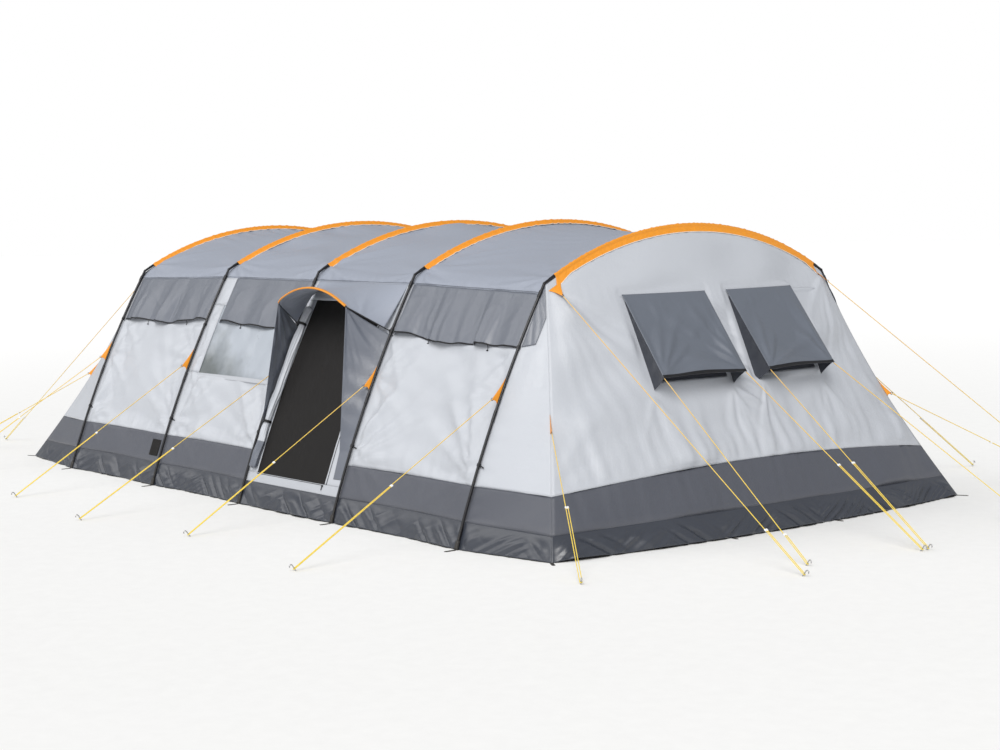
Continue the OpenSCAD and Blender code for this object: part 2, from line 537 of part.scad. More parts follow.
// ---------- porch ----------
function canopy_in(t, depth) = let (x = mix(hoop_x[2] + 14, hoop_x[3] - 14, t), z = edge_z(x) - seam - 1)
    [x, -leg_y(z, shoulder_z(x), wall_gap) - 1 - 0.4 * depth, z - 0.9 * depth];
function canopy_out(t, depth) = let (p = brow_pt(t), way = brow_pt(t + 0.002) - brow_pt(t - 0.002))
    p - unit(cross(way, canopy_in(t, 0) - p)) * (brow_pole_d / 2 + seam + 0.3 + depth);
function canopy_pt(t, s, depth) = mix(canopy_in(t, depth), canopy_out(t, depth), s)
    - [0, 0, 22 * sin(180 * s) * sin(180 * t)];
canopy_ts = [for (k = [1:35]) k / 36];
function canopy_grid(depth) = [for (s = steps(5)) [for (t = canopy_ts) canopy_pt(t, 1 - s, depth)]];
module porch_canopy() color(ROOF) sheet(canopy_grid(0), canopy_grid(4));
// Brow sleeve: an orange edge of cloth that lies along the front of the bow
module brow_sleeve() color(ORANGE) sheet(brow_edge(brow_pole_d / 2 + 4), brow_edge(brow_pole_d / 2 + 1));
function brow_edge(r) = [for (a = [-55, -20, 20, 60])
    [for (k = [9:27]) brow_pt(k / 36) + [0, -r * cos(a), 0] + brow_up(k / 36) * r * sin(a)]];

// Cheeks: from the brow's arm down to the foot of the doorway
cheek_low = 300;
cheek_turn = 495;
function wall_face_y(z) = -leg_y(z, shoulder_z(brow_mid), wall_gap);
function cheek_foot_x(s) = s < 0 ? roll_x - roll_d / 2 - 27 : brow_mid + brow_half + 45;
function cheek_front(s, v) = let (top = [brow_mid + s * (brow_half + 3), -brow_out + 8, brow_corner_z - 14],
    turn = [cheek_foot_x(s), wall_face_y(cheek_turn) - 12, cheek_turn],
    low = [cheek_foot_x(s) + s * 8, wall_face_y(cheek_low) - 4, cheek_low])
    v < 0.8 ? mix(top, turn, v / 0.8) : mix(turn, low, (v - 0.8) / 0.2);
function cheek_back(s, v) = let (x = (s < 0 ? hoop_x[2] : hoop_x[3]) - s * 20,
    z = mix(brow_socket_z - 30, cheek_low, v)) [x, wall_face_y(z) - 1, z];
function cheek_grid(s, depth) = [for (v = back_steps(8)) [for (h = (s > 0 ? steps(4) : back_steps(4)))
    mix(cheek_front(s, v), cheek_back(s, v), h) + [-s * depth - s * 18 * sin(180 * h) * (1 - v), 0, 0]]];
module porch_cheek(s) color(SLATE) sheet(cheek_grid(s, 0), cheek_grid(s, 4));
module porch_cheek_left() porch_cheek(-1);
module porch_cheek_right() porch_cheek(1);

// Mesh door in the doorway; its free edge carries a tape, and its slider runs along the sill
tape_w = 18;
mesh_t = 2.4;
module mesh_door() color(CHARCOAL)
    side_sheet(2, [for (c = [0:6]) door_share(mix(seam, door_w - tape_w - 2 * seam, c / 6))],
        heights(door_sill + seam, door_head - seam, 8), NEAR, full(8, 6), cloth_t / 2 - mesh_t / 2, mesh_t);
module door_edge_tape() color(SILVER)
    side_sheet(2, [door_share(door_w - tape_w), door_share(door_w - 1)],
        heights(door_sill + 2, door_head - 2, 8), NEAR, full(8, 1), 0.5, cloth_t - 1);
slider_z = door_sill - 14;
module door_zip_slider() color(BLACK) {
    zs = shoulder_z(brow_mid);
    a = leg_angle(slider_z, zs);
    translate([door_x0 + door_w - 40, -leg_y(slider_z, zs, wall_gap), slider_z]) rotate([-a, 0, 0]) {
        translate([-9, -4.3, -6]) cube([18, 4, 12]);
        difference() {
            translate([-4, -6.3, -30]) cube([8, 2.5, 30]);
            translate([0, -3, -25]) rotate([90, 0, 0]) cylinder(d = 4, h = 5, $fn = 24);
        }
    }
}
// Door rolled up and tied beside the doorway
roll_x = door_x0 - 22;
function roll_place(z, r) = let (zs = shoulder_z(roll_x), a = leg_angle(z, zs)) [a, leg_r(zs) - wall_gap + r];
module rolled_door() color(SILVER) mirror([0, 1, 0])
    around(roll_x, leg_centre(shoulder_z(roll_x)), roll_place(door_sill + 20, 0)[0],
        roll_place(door_head - 60, 0)[0])
        translate([roll_place(0, roll_d / 2 + seam)[1], 0]) circle(d = roll_d, $fn = 32);
tie_heights = [620, 1360];
module door_ties() color(BLACK) mirror([0, 1, 0]) for (z = tie_heights)
    around(roll_x, leg_centre(shoulder_z(roll_x)), roll_place(z, 0)[0], roll_place(z + 18, 0)[0])
        translate([roll_place(0, roll_d / 2 + seam)[1], 0]) difference() {
            circle(d = roll_d + 4, $fn = 32);
            circle(d = roll_d + 0.6, $fn = 32);
            translate([-roll_d / 2 - 5, -roll_d]) square([5 + seam, 2 * roll_d]);
        }

// ---------- valances, window flaps, vent ----------
// A valance hangs outside the wall from the roof's edge; d0 and d1 are its ends along the bay
function valance_pt(k, side, d, h, out) = let (u = share(k, d),
    z = edge_z(side_x(k, u)) - 2 - h * valance_drop)
    side_pt(k, u, z, side, -valance_gap - out);
function valance_grid(k, side, d0, d1, out) = [for (h = back_steps(4))
    [for (s = (side == NEAR ? steps(6) : back_steps(6))) valance_pt(k, side, mix(d0, d1, s), h, out)]];
module valance(k, side, d0, d1) color(SLATE)
    sheet(valance_grid(k, side, d0, d1, 4), valance_grid(k, side, d0, d1, 0));
leg_clear = 26;
valance_2_start = 190;
function bay_len(k) = hoop_x[k + 1] - hoop_x[k];
module valance_1() valance(0, NEAR, leg_clear, bay_len(0) - leg_clear);
module valance_2() valance(1, NEAR, valance_2_start, bay_len(1) - leg_clear);
module valance_4() valance(3, NEAR, leg_clear, bay_len(3) - leg_clear);
module far_valances() for (k = [0:3]) valance(k, FAR, leg_clear, bay_len(k) - leg_clear);

// A window flap hangs from its hinge line on the end wall
flap_lift = 4;
flap_t = 5;
function hinge_pt(s, y) = end_pt(1, end_u(s * y, flap_top), flap_top) + [flap_lift, 0, 0];
function wall_foot(s, y, z) = end_pt(1, end_u(s * y, z), z) + [flap_lift, 0, 0];
function hinge_axis(s) = let (d = unit(hinge_pt(s, flap_out) - hinge_pt(s, flap_in))) s > 0 ? d : -d;
function flap_down(s, a) = let (mid_y = (flap_in + flap_out) / 2,
    d = unit(wall_foot(s, mid_y, window_low) - hinge_pt(s, mid_y))) turn_about(d, hinge_axis(s), -a);
function flap_pt(s, c, h, depth) = let (axis = hinge_axis(s), d = flap_down(s, flap_angle), n = cross(axis, d),
    y = mix(s > 0 ? flap_in : flap_out, s > 0 ? flap_out : flap_in, c))
    hinge_pt(s, y) + d * h * flap_len - n * (flap_t - depth);
function flap_grid_of(s, depth) = [for (h = back_steps(5)) [for (c = steps(6)) flap_pt(s, c, h, depth)]];
module window_flap(s) color(CHARCOAL) sheet(flap_grid_of(s, 0), flap_grid_of(s, flap_t));
module window_flap_near() window_flap(NEAR);
module window_flap_far() window_flap(FAR);
// Gussets: three-cornered cloth between the flap's sides and the wall
gusset_in = 8;
function gusset_row(s, y, h) = [wall_foot(s, y, flap_top - mix(30, flap_len * 0.92, h)) - [flap_lift - 0.6, 0, 0],
    hinge_pt(s, y) + flap_down(s, flap_angle) * mix(30, flap_len - 6, h) - [0.6, 0, 0]];
function gusset_grid(s, y, side) = [for (h = [1, 0.75, 0.5, 0.25, 0]) let (row = gusset_row(s, y, h))
    [for (p = row) p + [0, -side, 0]]];
module flap_gussets(s) color(CHARCOAL) for (y = [flap_in + gusset_in, flap_out - gusset_in])
    sheet(gusset_grid(s, y, 1.2), gusset_grid(s, y, -1.2));
module flap_gussets_near() flap_gussets(NEAR);
module flap_gussets_far() flap_gussets(FAR);

// Low vent in the band, beside the second leg
vent_from = 1260;
vent_to = 1420;
module low_vent() color(BLACK) side_sheet(0, [for (c = steps(2)) share(0, mix(vent_from, vent_to, c))],
    [230, 295, 360], NEAR, full(2, 2), -4.1, 3);

// ---------- pull-outs, tabs, ropes, runners, pegs ----------
near_pegs = [[-3100, -3200], [-1400, -3300], [50, -3450], [1250, -3210], [2870, -3365]];
far_pegs = [[-2850, 3350], [-1300, 3380], [150, 3450], [1400, 3400], [2870, 3400]];
pull_low = shoulder_height * 0.532;
pull_high = shoulder_height * 0.628;
pull_tip = shoulder_height * 0.586;
pull_reach = 110;
// Tip of the pull-out on a leg, leaning towards its peg
function leg_tip(k, side) = let (zs = shoulder_z(hoop_x[k]), peg = side == NEAR ? near_pegs[k] : far_pegs[k],
    base = [hoop_x[k], side * leg_y(pull_tip, zs), pull_tip]) base + unit([peg[0], peg[1], 0] - base) * pull_reach;
// A point on the outer side of a leg
function leg_face(k, side, z) = let (zs = shoulder_z(hoop_x[k]), a = leg_angle(z, zs), r = leg_d / 2 + 4 * seam)
    [hoop_x[k], side * (leg_y(z, zs) + r * cos(a)), z + r * sin(a)];
module leg_pull_outs() color(ORANGE) for (k = [0:4], side = [NEAR, FAR])
    tri_plate(leg_face(k, side, pull_high), leg_face(k, side, pull_low), leg_tip(k, side), 4);
// Tabs on the corner seams and at the end hoops' shoulders
corner_pegs = [[4430, -2340], [4200, 3000], [-4900, -2300], [-4600, 2500]];
shoulder_pegs = [[5170, -1200], [4270, 2900], [-5170, -1700], [-5170, 1500]];
function seam_pt(g, z) = end_pt(g[0], g[1], z) + [g[0] > 0 ? 0.2 : -1.2, g[1] * seam, 0];
tab_z = shoulder_height * 0.46;
function corner_tip(j) = let (g = ends[j], base = seam_pt(g, tab_z))
    base + unit([corner_pegs[j][0], corner_pegs[j][1], 0] - base) * 75;
function tab_root(g, share) = let (u = g[1] * share, z = end_top(u) - tab_down)
    end_pt(g[0], u, z) + [g[0], 0, 0];
tab_down = 50;
shoulder_tab = [0.985, 0.905];
function shoulder_tip(j) = let (g = ends[j], base = tab_root(g, 0.945))
    base + unit([shoulder_pegs[j][0], shoulder_pegs[j][1], 0] - base) * 105;
module guy_tabs() color(ORANGE) for (j = [0:3]) {
    g = ends[j];
    tri_plate(seam_pt(g, tab_z + 70), seam_pt(g, tab_z - 50), corner_tip(j), 4);
    tri_plate(tab_root(g, shoulder_tab[0]), tab_root(g, shoulder_tab[1]), shoulder_tip(j), 2.4);
}
flap_pegs = [[5120, -30], [4950, -930], [5120, 30], [5050, 1270]];
function flap_tip(j) = let (s = j < 2 ? NEAR : FAR, y = j % 2 == 0 ? flap_in + 6 : flap_out - 6)
    hinge_pt(s, y) + flap_down(s, flap_angle) * flap_len;

// Each rope: its tip at the tent, its peg, and the runner's share of the way from the peg
leg_ropes = concat([for (k = [0:4]) [leg_tip(k, NEAR), near_pegs[k], 0.47]],
    [for (k = [0:4]) [leg_tip(k, FAR), far_pegs[k], 0.47]]);
corner_ropes = [for (j = [0:3]) [corner_tip(j), corner_pegs[j], 0.47]];
shoulder_ropes = [for (j = [0:3]) [shoulder_tip(j), shoulder_pegs[j], 0.14]];
flap_rope_list = [for (j = [0:3]) [flap_tip(j), flap_pegs[j], j % 2 == 0 ? 0.45 : 0.14]];
loop_r = (peg_d + rope_d) / 2 + seam;

function ground(r) = [r[1][0], r[1][1], 0];
function peg_lean(r) = let (d = unit(r[0] - ground(r))) unit([0, 0, 1] - d * d[2]);
function loop_pt(r) = ground(r) + peg_lean(r) * loop_height;
function side_of(v) = unit([-v[1], v[0], 0]);
// Direction of the two strands: the standing one is beside the peg and ends at the tent
function find_way(q, tip, d, n) = n == 0 ? d : find_way(q, tip, unit(tip - q - side_of(d) * loop_r), n - 1);
function way(r) = find_way(loop_pt(r), r[0], unit(r[0] - loop_pt(r)), 4);
function rope_len(r) = (r[0] - loop_pt(r)) * way(r);
function runner_at(r) = rope_len(r) * r[2];
// Everything on a rope stands in the frame of its loop, with Z along the strands
module on_rope(r) along(loop_pt(r), way(r)) children();
module rope(r, gap = rope_end_gap) on_rope(r) {
    translate([0, loop_r, 0]) cylinder(d = rope_d, h = rope_len(r) - gap, $fn = 24);
    translate([0, -loop_r, 0]) cylinder(d = rope_d, h = runner_at(r) + runner_len, $fn = 24);
    rotate([-90, 0, 90]) rotate_extrude(angle = 180, $fn = 48) translate([loop_r, 0]) circle(d = rope_d, $fn = 24);
}
rope_end_gap = 0.4;
flap_rope_gap = 1.1;
module guy_ropes() color(ROPE) for (r = concat(leg_ropes, corner_ropes, shoulder_ropes)) rope(r);
module flap_ropes() color(ROPE) for (r = flap_rope_list) rope(r, flap_rope_gap);
// Runner: two holes joined by a bar
module runner(r) color(SILVER) on_rope(r) translate([0, 0, runner_at(r)]) difference() {
    union() {
        for (s = [-1, 1]) translate([0, s * loop_r, 0]) cylinder(d = rope_d + 6, h = runner_len, $fn = 32);
        translate([-3, -loop_r, 0]) cube([6, 2 * loop_r, runner_len]);
    }
    for (s = [-1, 1]) translate([0, s * loop_r, -1])
        cylinder(d = rope_d + 2 * runner_play, h = runner_len + 2, $fn = 32);
}
module runner_leg_1() runner(leg_ropes[0]);
module runner_leg_2() runner(leg_ropes[1]);
module runner_leg_3() runner(leg_ropes[2]);
module runner_leg_4() runner(leg_ropes[3]);
module runner_leg_5() runner(leg_ropes[4]);
module runner_corner() runner(corner_ropes[0]);
module runner_shoulder() runner(shoulder_ropes[0]);
module runner_flap_near() runner(flap_rope_list[0]);
module runner_flap_far() runner(flap_rope_list[2]);
module other_runners() {
    for (k = [5:9]) runner(leg_ropes[k]);
    for (j = [1:3]) runner(corner_ropes[j]);
    for (j = [1:3]) runner(shoulder_ropes[j]);
    for (j = [1, 3]) runner(flap_rope_list[j]);
}
// Peg: its head above the ground, leaning away from the tent, with a hook
peg_top = 26;
hook_r = 11;
module pegs() color([0.7, 0.7, 0.72])
    for (r = concat(leg_ropes, corner_ropes, shoulder_ropes, flap_rope_list)) peg(r);
module peg(r) difference() {
    on_rope(r) {
        translate([loop_height + 12, 0, 0]) rotate([0, -90, 0])
            cylinder(d = peg_d, h = loop_height + 12 + peg_top, $fn = 24);
        translate([-peg_top, 0, -hook_r]) rotate([90, 0, 0]) rotate([0, 0, 90])
            rotate_extrude(angle = 180, $fn = 48) translate([hook_r, 0]) circle(d = peg_d, $fn = 24);
    }
    translate(ground(r) + [-60, -60, -60]) cube([120, 120, 60]);
}
// Webbing loops that hold the foot pins and pull the hem out at the corners
loop_t = 2.5;
module peg_loops() color(BLACK) {
    for (x = hoop_x, side = [0, 1]) mirror([0, side, 0])
        translate([x, leg_y(0, shoulder_z(x)), 0]) difference() {
            union() {
                translate([-14, 10, 0]) cube([28, 70, loop_t]);
                translate([0, 80, 0]) cylinder(d = 28, h = loop_t, $fn = 32);
            }
            translate([0, 0, -1]) cylinder(d = leg_d + 7 + 2 * seam, h = 6, $fn = 32);
            translate([0, 78, -1]) cylinder(d = 12, h = 6, $fn = 32);
        }
    for (g = ends) let (p = end_pt(g[0], g[1], 0)) linear_extrude(loop_t) difference() {
        translate([p[0], p[1]]) rotate(g[0] > 0 ? g[1] * 30 : 180 - g[1] * 30) difference() {
            union() {
                translate([-20, -12]) square([88, 24]);
                translate([68, 0]) circle(d = 24, $fn = 32);
            }
            translate([66, 0]) circle(d = 10, $fn = 32);
        }
        floor_shape(-seam);
    }
    // Two loops on the front end's hem
    for (u = hem_loops) let (p = end_pt(1, u, 0)) linear_extrude(loop_t) difference() {
        translate([p[0], p[1]]) rotate(20 * u) difference() {
            union() {
                translate([-20, -12]) square([75, 24]);
                translate([55, 0]) circle(d = 24, $fn = 32);
            }
            translate([53, 0]) circle(d = 10, $fn = 32);
        }
        floor_shape(-seam);
    }
}
hem_loops = [-0.27, 0.245];

groundsheet();
roof_poles();
leg_poles();
shoulder_elbows();
pin_feet();
pole_clips();
brow_pole();
brow_sockets();
pole_sleeves();
roof_panel_1();
roof_panel_2();
roof_panel_3();
roof_panel_4();
near_wall_1();
near_wall_2();
near_wall_4();
door_wall();
far_wall();
front_wall();
rear_wall();
corner_gores();
ground_band();
mud_flap();
porch_canopy();
porch_cheek_left();
porch_cheek_right();
brow_sleeve();
door_sill_strip();
mesh_door();
door_edge_tape();
door_zip_slider();
rolled_door();
door_ties();
valance_1();
valance_2();
valance_4();
far_valances();
side_window_pane();
front_window_panes();
window_flap_near();
window_flap_far();
flap_gussets_near();
flap_gussets_far();
low_vent();
leg_pull_outs();
guy_tabs();
guy_ropes();
flap_ropes();
pegs();
peg_loops();
other_runners();
runner_leg_1();
runner_leg_2();
runner_leg_3();
runner_leg_4();
runner_leg_5();
runner_corner();
runner_shoulder();
runner_flap_near();
runner_flap_far();
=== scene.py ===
"""Cloth, cords, finishes and stage for a five-hoop tunnel tent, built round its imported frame.

Metres, in the frame of the part: +X is the end with two window flaps, -Y the side with the door,
z = 0 the ground. Every cloth is a surface worked out on a grid from the tent's own sizes.
"""

import bmesh
import bpy
import numpy as np
from mathutils import Matrix


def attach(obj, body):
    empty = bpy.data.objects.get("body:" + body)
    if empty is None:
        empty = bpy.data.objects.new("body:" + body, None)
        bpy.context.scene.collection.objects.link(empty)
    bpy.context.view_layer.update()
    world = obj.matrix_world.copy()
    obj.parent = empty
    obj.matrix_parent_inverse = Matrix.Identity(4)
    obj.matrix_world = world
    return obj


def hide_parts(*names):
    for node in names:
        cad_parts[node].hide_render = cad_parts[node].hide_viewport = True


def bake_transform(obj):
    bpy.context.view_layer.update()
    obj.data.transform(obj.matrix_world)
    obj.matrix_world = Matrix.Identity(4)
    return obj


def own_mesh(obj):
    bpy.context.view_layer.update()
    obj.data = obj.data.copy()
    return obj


bl_info = {
    "name": "Tunnel tent on poles",
    "version": (1, 0, 0),
    "blender": (4, 5, 0),
    "location": "View3D > Sidebar > Tent",
    "description": "Sews the cloth, ties the ropes and lights the stage of a pole tent",
    "category": "Object",
}

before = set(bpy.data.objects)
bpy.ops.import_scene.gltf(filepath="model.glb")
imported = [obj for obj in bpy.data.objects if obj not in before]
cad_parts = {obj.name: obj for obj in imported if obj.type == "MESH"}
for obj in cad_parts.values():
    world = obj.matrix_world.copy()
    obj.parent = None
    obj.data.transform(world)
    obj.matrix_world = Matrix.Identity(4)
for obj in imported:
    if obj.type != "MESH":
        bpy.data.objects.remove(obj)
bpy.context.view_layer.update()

# ---------------------------------------------------------------- sizes of the tent, in metres
HOOPS = np.array([-2.71, -1.21, 0.19, 1.49, 2.99])
BAYS = [(bay, side) for bay in range(4) for side in (-1, 1)]
DOOR_BAY, WINDOW_BAY = (2, -1), (1, -1)
FOOT, SHOULDER, BOW = 2.19, 1.39, 0.05
SHOULDER_Z = np.array([1.74, 1.775, 1.775, 1.775, 1.74])
ROOF_RISE = 0.375
ROOF_R = (SHOULDER**2 + ROOF_RISE**2) / (2 * ROOF_RISE)
WALL_GAP, ROOF_GAP = 0.015, 0.014
ROOF_DIP, WALL_DRAW, ROOF_DROP = 0.075, 0.030, 0.070
DRAW = (WALL_DRAW, WALL_DRAW, 0.0, WALL_DRAW)
BAND, BAND_RISE, CORNER_DROP, FLAP_HEIGHT = 0.41, 0.080, 0.025, 0.18
CORNER, HEM_BULGE, WALL_BELLY = 2.035, 0.14, 0.04
SEAM_DRAW_X, SEAM_DRAW_Y = 0.088, 0.055
SLEEVE_HALF, SLEEVE_LAP = 0.052, 0.034
FRONT_RUN, REAR_RUN = 0.80, 1.08
END_R = ROOF_R - ROOF_GAP
ROOF_ANGLE = np.arcsin(SHOULDER / ROOF_R)
CROWN = ROOF_ANGLE - np.radians(2.5)
END_HALF = END_R * np.sin(ROOF_ANGLE)
DOOR = (0.32, 1.28, 0.25, 1.56)
SIDE_WINDOW = (-1.05, 0.05, 0.93, 1.48)
END_WINDOW = (0.152, 0.80, 1.055, 1.598)
LOW_VENT = (-1.45, -1.29, 0.23, 0.36)
BROW_MID, BROW_HALF, BROW_OUT = 0.84, 0.465, 1.9002
BROW_Z, BROW_RISE, BROW_SOCKET_Z = 1.56, 0.125, 1.37
FLAP_IN, FLAP_OUT, FLAP_TOP, FLAP_LEN = 0.107, 0.845, 1.643, 0.70
FLAP_MID, FLAP_ANGLE, FLAP_LIFT = (FLAP_IN + FLAP_OUT) / 2, np.radians(12.0), np.array([0.004, 0, 0])
VALANCE_DROP, VALANCE_IN, VENT_SIDE_IN = 0.365, 0.026, 0.19
ROLL_X, ROLL_D, DOOR_TIES = 0.298, 0.062, (0.629, 1.369)
PEG_D, ROPE_D, LOOP_HEIGHT = 0.008, 0.006, 0.020
LOOP_R = (PEG_D + ROPE_D) / 2 + 0.0003
PULL_TIP, PULL_EDGE, PULL_REACH, CORNER_TAB_Z = 1.0402, (1.1147, 0.9443), 0.110, 0.8165
LEG_PEGS = {
    -1: [(-3.10, -3.20), (-1.40, -3.30), (0.05, -3.45), (1.25, -3.21), (2.87, -3.365)],
    1: [(-2.85, 3.35), (-1.30, 3.38), (0.15, 3.45), (1.40, 3.40), (2.87, 3.40)],
}
ENDS = [(1, -1), (1, 1), (-1, -1), (-1, 1)]
CORNER_PEGS = [(4.43, -2.34), (4.20, 3.00), (-4.90, -2.30), (-4.60, 2.50)]
SHOULDER_PEGS = [(5.17, -1.20), (4.27, 2.90), (-5.17, -1.70), (-5.17, 1.50)]
FLAP_PEGS = [(5.12, -0.03), (4.95, -0.93), (5.12, 0.03), (5.05, 1.27)]
LONG_SHARE, SHORT_SHARE = 0.47, 0.14
FLAP_SHARES = (0.45, SHORT_SHARE, 0.45, SHORT_SHARE)
THICK, TAPE, GROUND_SKIN, FILM_Z = 0.0012, 0.0008, 0.0012, 0.0015
ROOF_TOP = 9.0


# ---------------------------------------------------------------- the tent's surfaces
def mix(a, b, t):
    return a + (b - a) * t


def smooth(a, b, t):
    """0 before a, 1 after b, and a smooth step between them."""
    t = np.clip((t - a) / (b - a), 0, 1)
    return t * t * (3 - 2 * t)


def unit(v):
    v = np.asarray(v, float)
    return v / np.linalg.norm(v, axis=-1, keepdims=True)


def stack(x, y, z):
    return np.stack(np.broadcast_arrays(x, y, z), axis=-1).astype(float)


def shoulder_z(x):
    return np.interp(x, HOOPS, SHOULDER_Z)


def edge_z(x):
    return shoulder_z(x) - ROOF_DROP


def leg(z, zs, inset=0.0):
    """Half-width of a leg at height z: a circle through its foot and its shoulder at zs, bowed outward."""
    chord = np.hypot(FOOT - SHOULDER, zs)
    r = (chord**2 / 4 + BOW**2) / (2 * BOW)
    cy = (FOOT + SHOULDER) / 2 - zs / chord * (r - BOW)
    cz = zs / 2 - (FOOT - SHOULDER) / chord * (r - BOW)
    sin_a = (z - cz) / (r - inset)
    cos_a = np.sqrt(1 - sin_a**2)
    return cy + (r - inset) * cos_a, cos_a, sin_a


def leg_point(k, side, z, out=0.0):
    """Points on the leg of hoop k, moved out from its middle line."""
    y, cos_a, sin_a = leg(z, shoulder_z(HOOPS[k]))
    return stack(HOOPS[k], side * (y + out * cos_a), z + out * sin_a)


def across_bay(bay, x):
    return (x - HOOPS[bay]) / (HOOPS[bay + 1] - HOOPS[bay])


def bay_box(bay, z0, z1):
    return HOOPS[bay], HOOPS[bay + 1], z0, z1


def side_wall(bay, x, z, side, out=0.0):
    """Wall between two legs: the leg's circle, drawn in between the hoops by a parabola that dies at the roof."""
    u = across_bay(bay, x)
    y, cos_a, sin_a = leg(z, shoulder_z(x), WALL_GAP)
    drawn = DRAW[bay] * 4 * u * (1 - u) * np.maximum(0, 1 - (z / edge_z(x)) ** 2)
    return stack(x, side * (y - drawn + out * cos_a), z + out * sin_a)


def end_x(e):
    return HOOPS[4] if e > 0 else HOOPS[0]


def end_top(u):
    return SHOULDER_Z[0] + ROOF_RISE - ROOF_R + np.sqrt(END_R**2 - (END_HALF * u) ** 2)


def end_share(u, z):
    return 1 - np.minimum(z, end_top(u)) / end_top(u)


def end_width(v):
    """Half-width of an end wall at a share v of its drop: a straight taper, drawn in by a sine."""
    return mix(END_HALF, CORNER, v) - SEAM_DRAW_Y * np.sin(np.pi * v)


def end_wall(e, u, z, out=0.0):
    """End wall: straight lines from the hoop's arc to a bowed hem, bellied by a sine that the seams draw in."""
    v = end_share(u, z)
    run = FRONT_RUN if e > 0 else REAR_RUN
    belly = (WALL_BELLY - SEAM_DRAW_X * u**4) * np.sin(np.pi * v)
    x = end_x(e) + e * (0.0053 + v * (run + HEM_BULGE * (1 - u * u)) + belly + out)
    return stack(x, u * end_width(v), np.minimum(z, end_top(u)))


def band_top(u):
    return BAND - CORNER_DROP + (BAND_RISE + CORNER_DROP) * (1 - u * u)


def flap_top_line(u):
    return FLAP_HEIGHT - CORNER_DROP * u * u


def end_u(y, z):
    """Share of the half-width at which the end wall has the place y, found by repeated substitution."""
    u = y / FOOT + 0 * z
    for _ in range(8):
        u = y / end_width(end_share(u, z))
    return u


def front_at(y, z):
    """Points of the front wall at places y and heights z."""
    y, z = np.broadcast_arrays(np.asarray(y, float), np.asarray(z, float))
    return end_wall(1, end_u(y, z), z)


def gore(e, side, s, z, out=0.0):
    """Straight lines from a height on the end hoop's leg to the height that meets it on the end wall's seam."""
    y, cos_a, sin_a = leg(z, SHOULDER_Z[0], WALL_GAP)
    marks = [0, FLAP_HEIGHT, BAND, SHOULDER_Z[0] - ROOF_DROP]
    high = np.interp(z, marks, [0, flap_top_line(1), band_top(1), end_top(1)])
    tip = end_wall(e, side + 0 * z, high)
    y = side * (mix(y, side * tip[..., 1], s) + out * cos_a)
    return stack(mix(end_x(e), tip[..., 0], s), y, mix(z, high, s) + out * sin_a)


def shoulder_bend(x, t):
    """Quadratic curve from the wall's edge to the roof's arc, tangent to both: place and outward direction."""
    zs, ze = shoulder_z(x), edge_z(x)
    y, cos_a, sin_a = leg(ze, zs, WALL_GAP)
    p0y, p0z = -y, ze
    p2y, p2z = -END_R * np.sin(CROWN), zs + ROOF_RISE - ROOF_R + END_R * np.cos(CROWN)
    dy, dz = -np.cos(CROWN), -np.sin(CROWN)
    s = ((p0y - p2y) * cos_a - (p0z - p2z) * sin_a) / (dy * cos_a - dz * sin_a)
    p1y, p1z = p2y + s * dy, p2z + s * dz
    py = (1 - t) ** 2 * p0y + 2 * t * (1 - t) * p1y + t * t * p2y
    pz = (1 - t) ** 2 * p0z + 2 * t * (1 - t) * p1z + t * t * p2z
    gy = 2 * (1 - t) * (p1y - p0y) + 2 * t * (p2y - p1y)
    gz = 2 * (1 - t) * (p1z - p0z) + 2 * t * (p2z - p1z)
    g = np.hypot(gy, gz)
    return py, pz, -gz / g, gy / g


def roof(bay, x, t):
    """Roof from one wall's edge (t 0) over the arc (t 1 to 2) to the other (t 3), dipping between the hoops."""
    u = across_bay(bay, x)
    by, bz, _, _ = shoulder_bend(x, np.clip(np.where(t > 1.5, 3 - t, t), 0, 1))
    a = mix(-CROWN, CROWN, np.clip(t - 1, 0, 1))
    over = (t >= 1) & (t <= 2)
    y = np.where(over, END_R * np.sin(a), by * np.where(t > 1.5, -1, 1))
    z = np.where(over, shoulder_z(x) + ROOF_RISE - ROOF_R + END_R * np.cos(a), bz)
    rim = np.clip(np.minimum(t, 3 - t), 0, 1)
    share = np.where(over, 0.3 + 0.7 * np.sin(np.pi * np.clip(t - 1, 0, 1)), 0.3 * rim)
    return stack(x, y, z - ROOF_DIP * 4 * u * (1 - u) * share)


# ---------------------------------------------------------------- folds in the cloth
def fold_depth():
    return bpy.context.scene.tent_cloth.fold_depth


def wave(s, length, seed, terms=5):
    """Sum of cosines along s whose periods lie near length, about -1 to 1."""
    rng = np.random.default_rng(seed)
    period = length * rng.uniform(0.6, 1.7, terms)
    phase = rng.uniform(0, 2 * np.pi, terms)
    return np.cos(2 * np.pi * np.asarray(s)[..., None] / period + phase).sum(-1) / np.sqrt(terms)


def swell(s, t, length, seed, stretch=1.0, terms=10):
    """Sum of plane waves in many directions, about -1 to 1; stretch lengthens them along s."""
    rng = np.random.default_rng(seed)
    way = rng.uniform(0, np.pi, terms)
    rate = 2 * np.pi / (length * rng.uniform(0.6, 1.6, terms))
    phase = rng.uniform(0, 2 * np.pi, terms)
    lag = (s / stretch)[..., None] * np.cos(way) + t[..., None] * np.sin(way)
    return np.cos(lag * rate + phase).sum(-1) / np.sqrt(terms)


def ridged(field, sharp):
    """Turns a smooth field into narrow ridges with broad hollows between them, 0 to 1."""
    return np.clip(1 - np.abs(field), 0, 1) ** sharp


def pucker(s, away, length, reach, depth, seed):
    """Short gathers across a seam: a wave along it that dies away from it."""
    return depth * wave(s, length, seed) * np.exp(-away / reach) * (1 - np.exp(-away / 0.010))


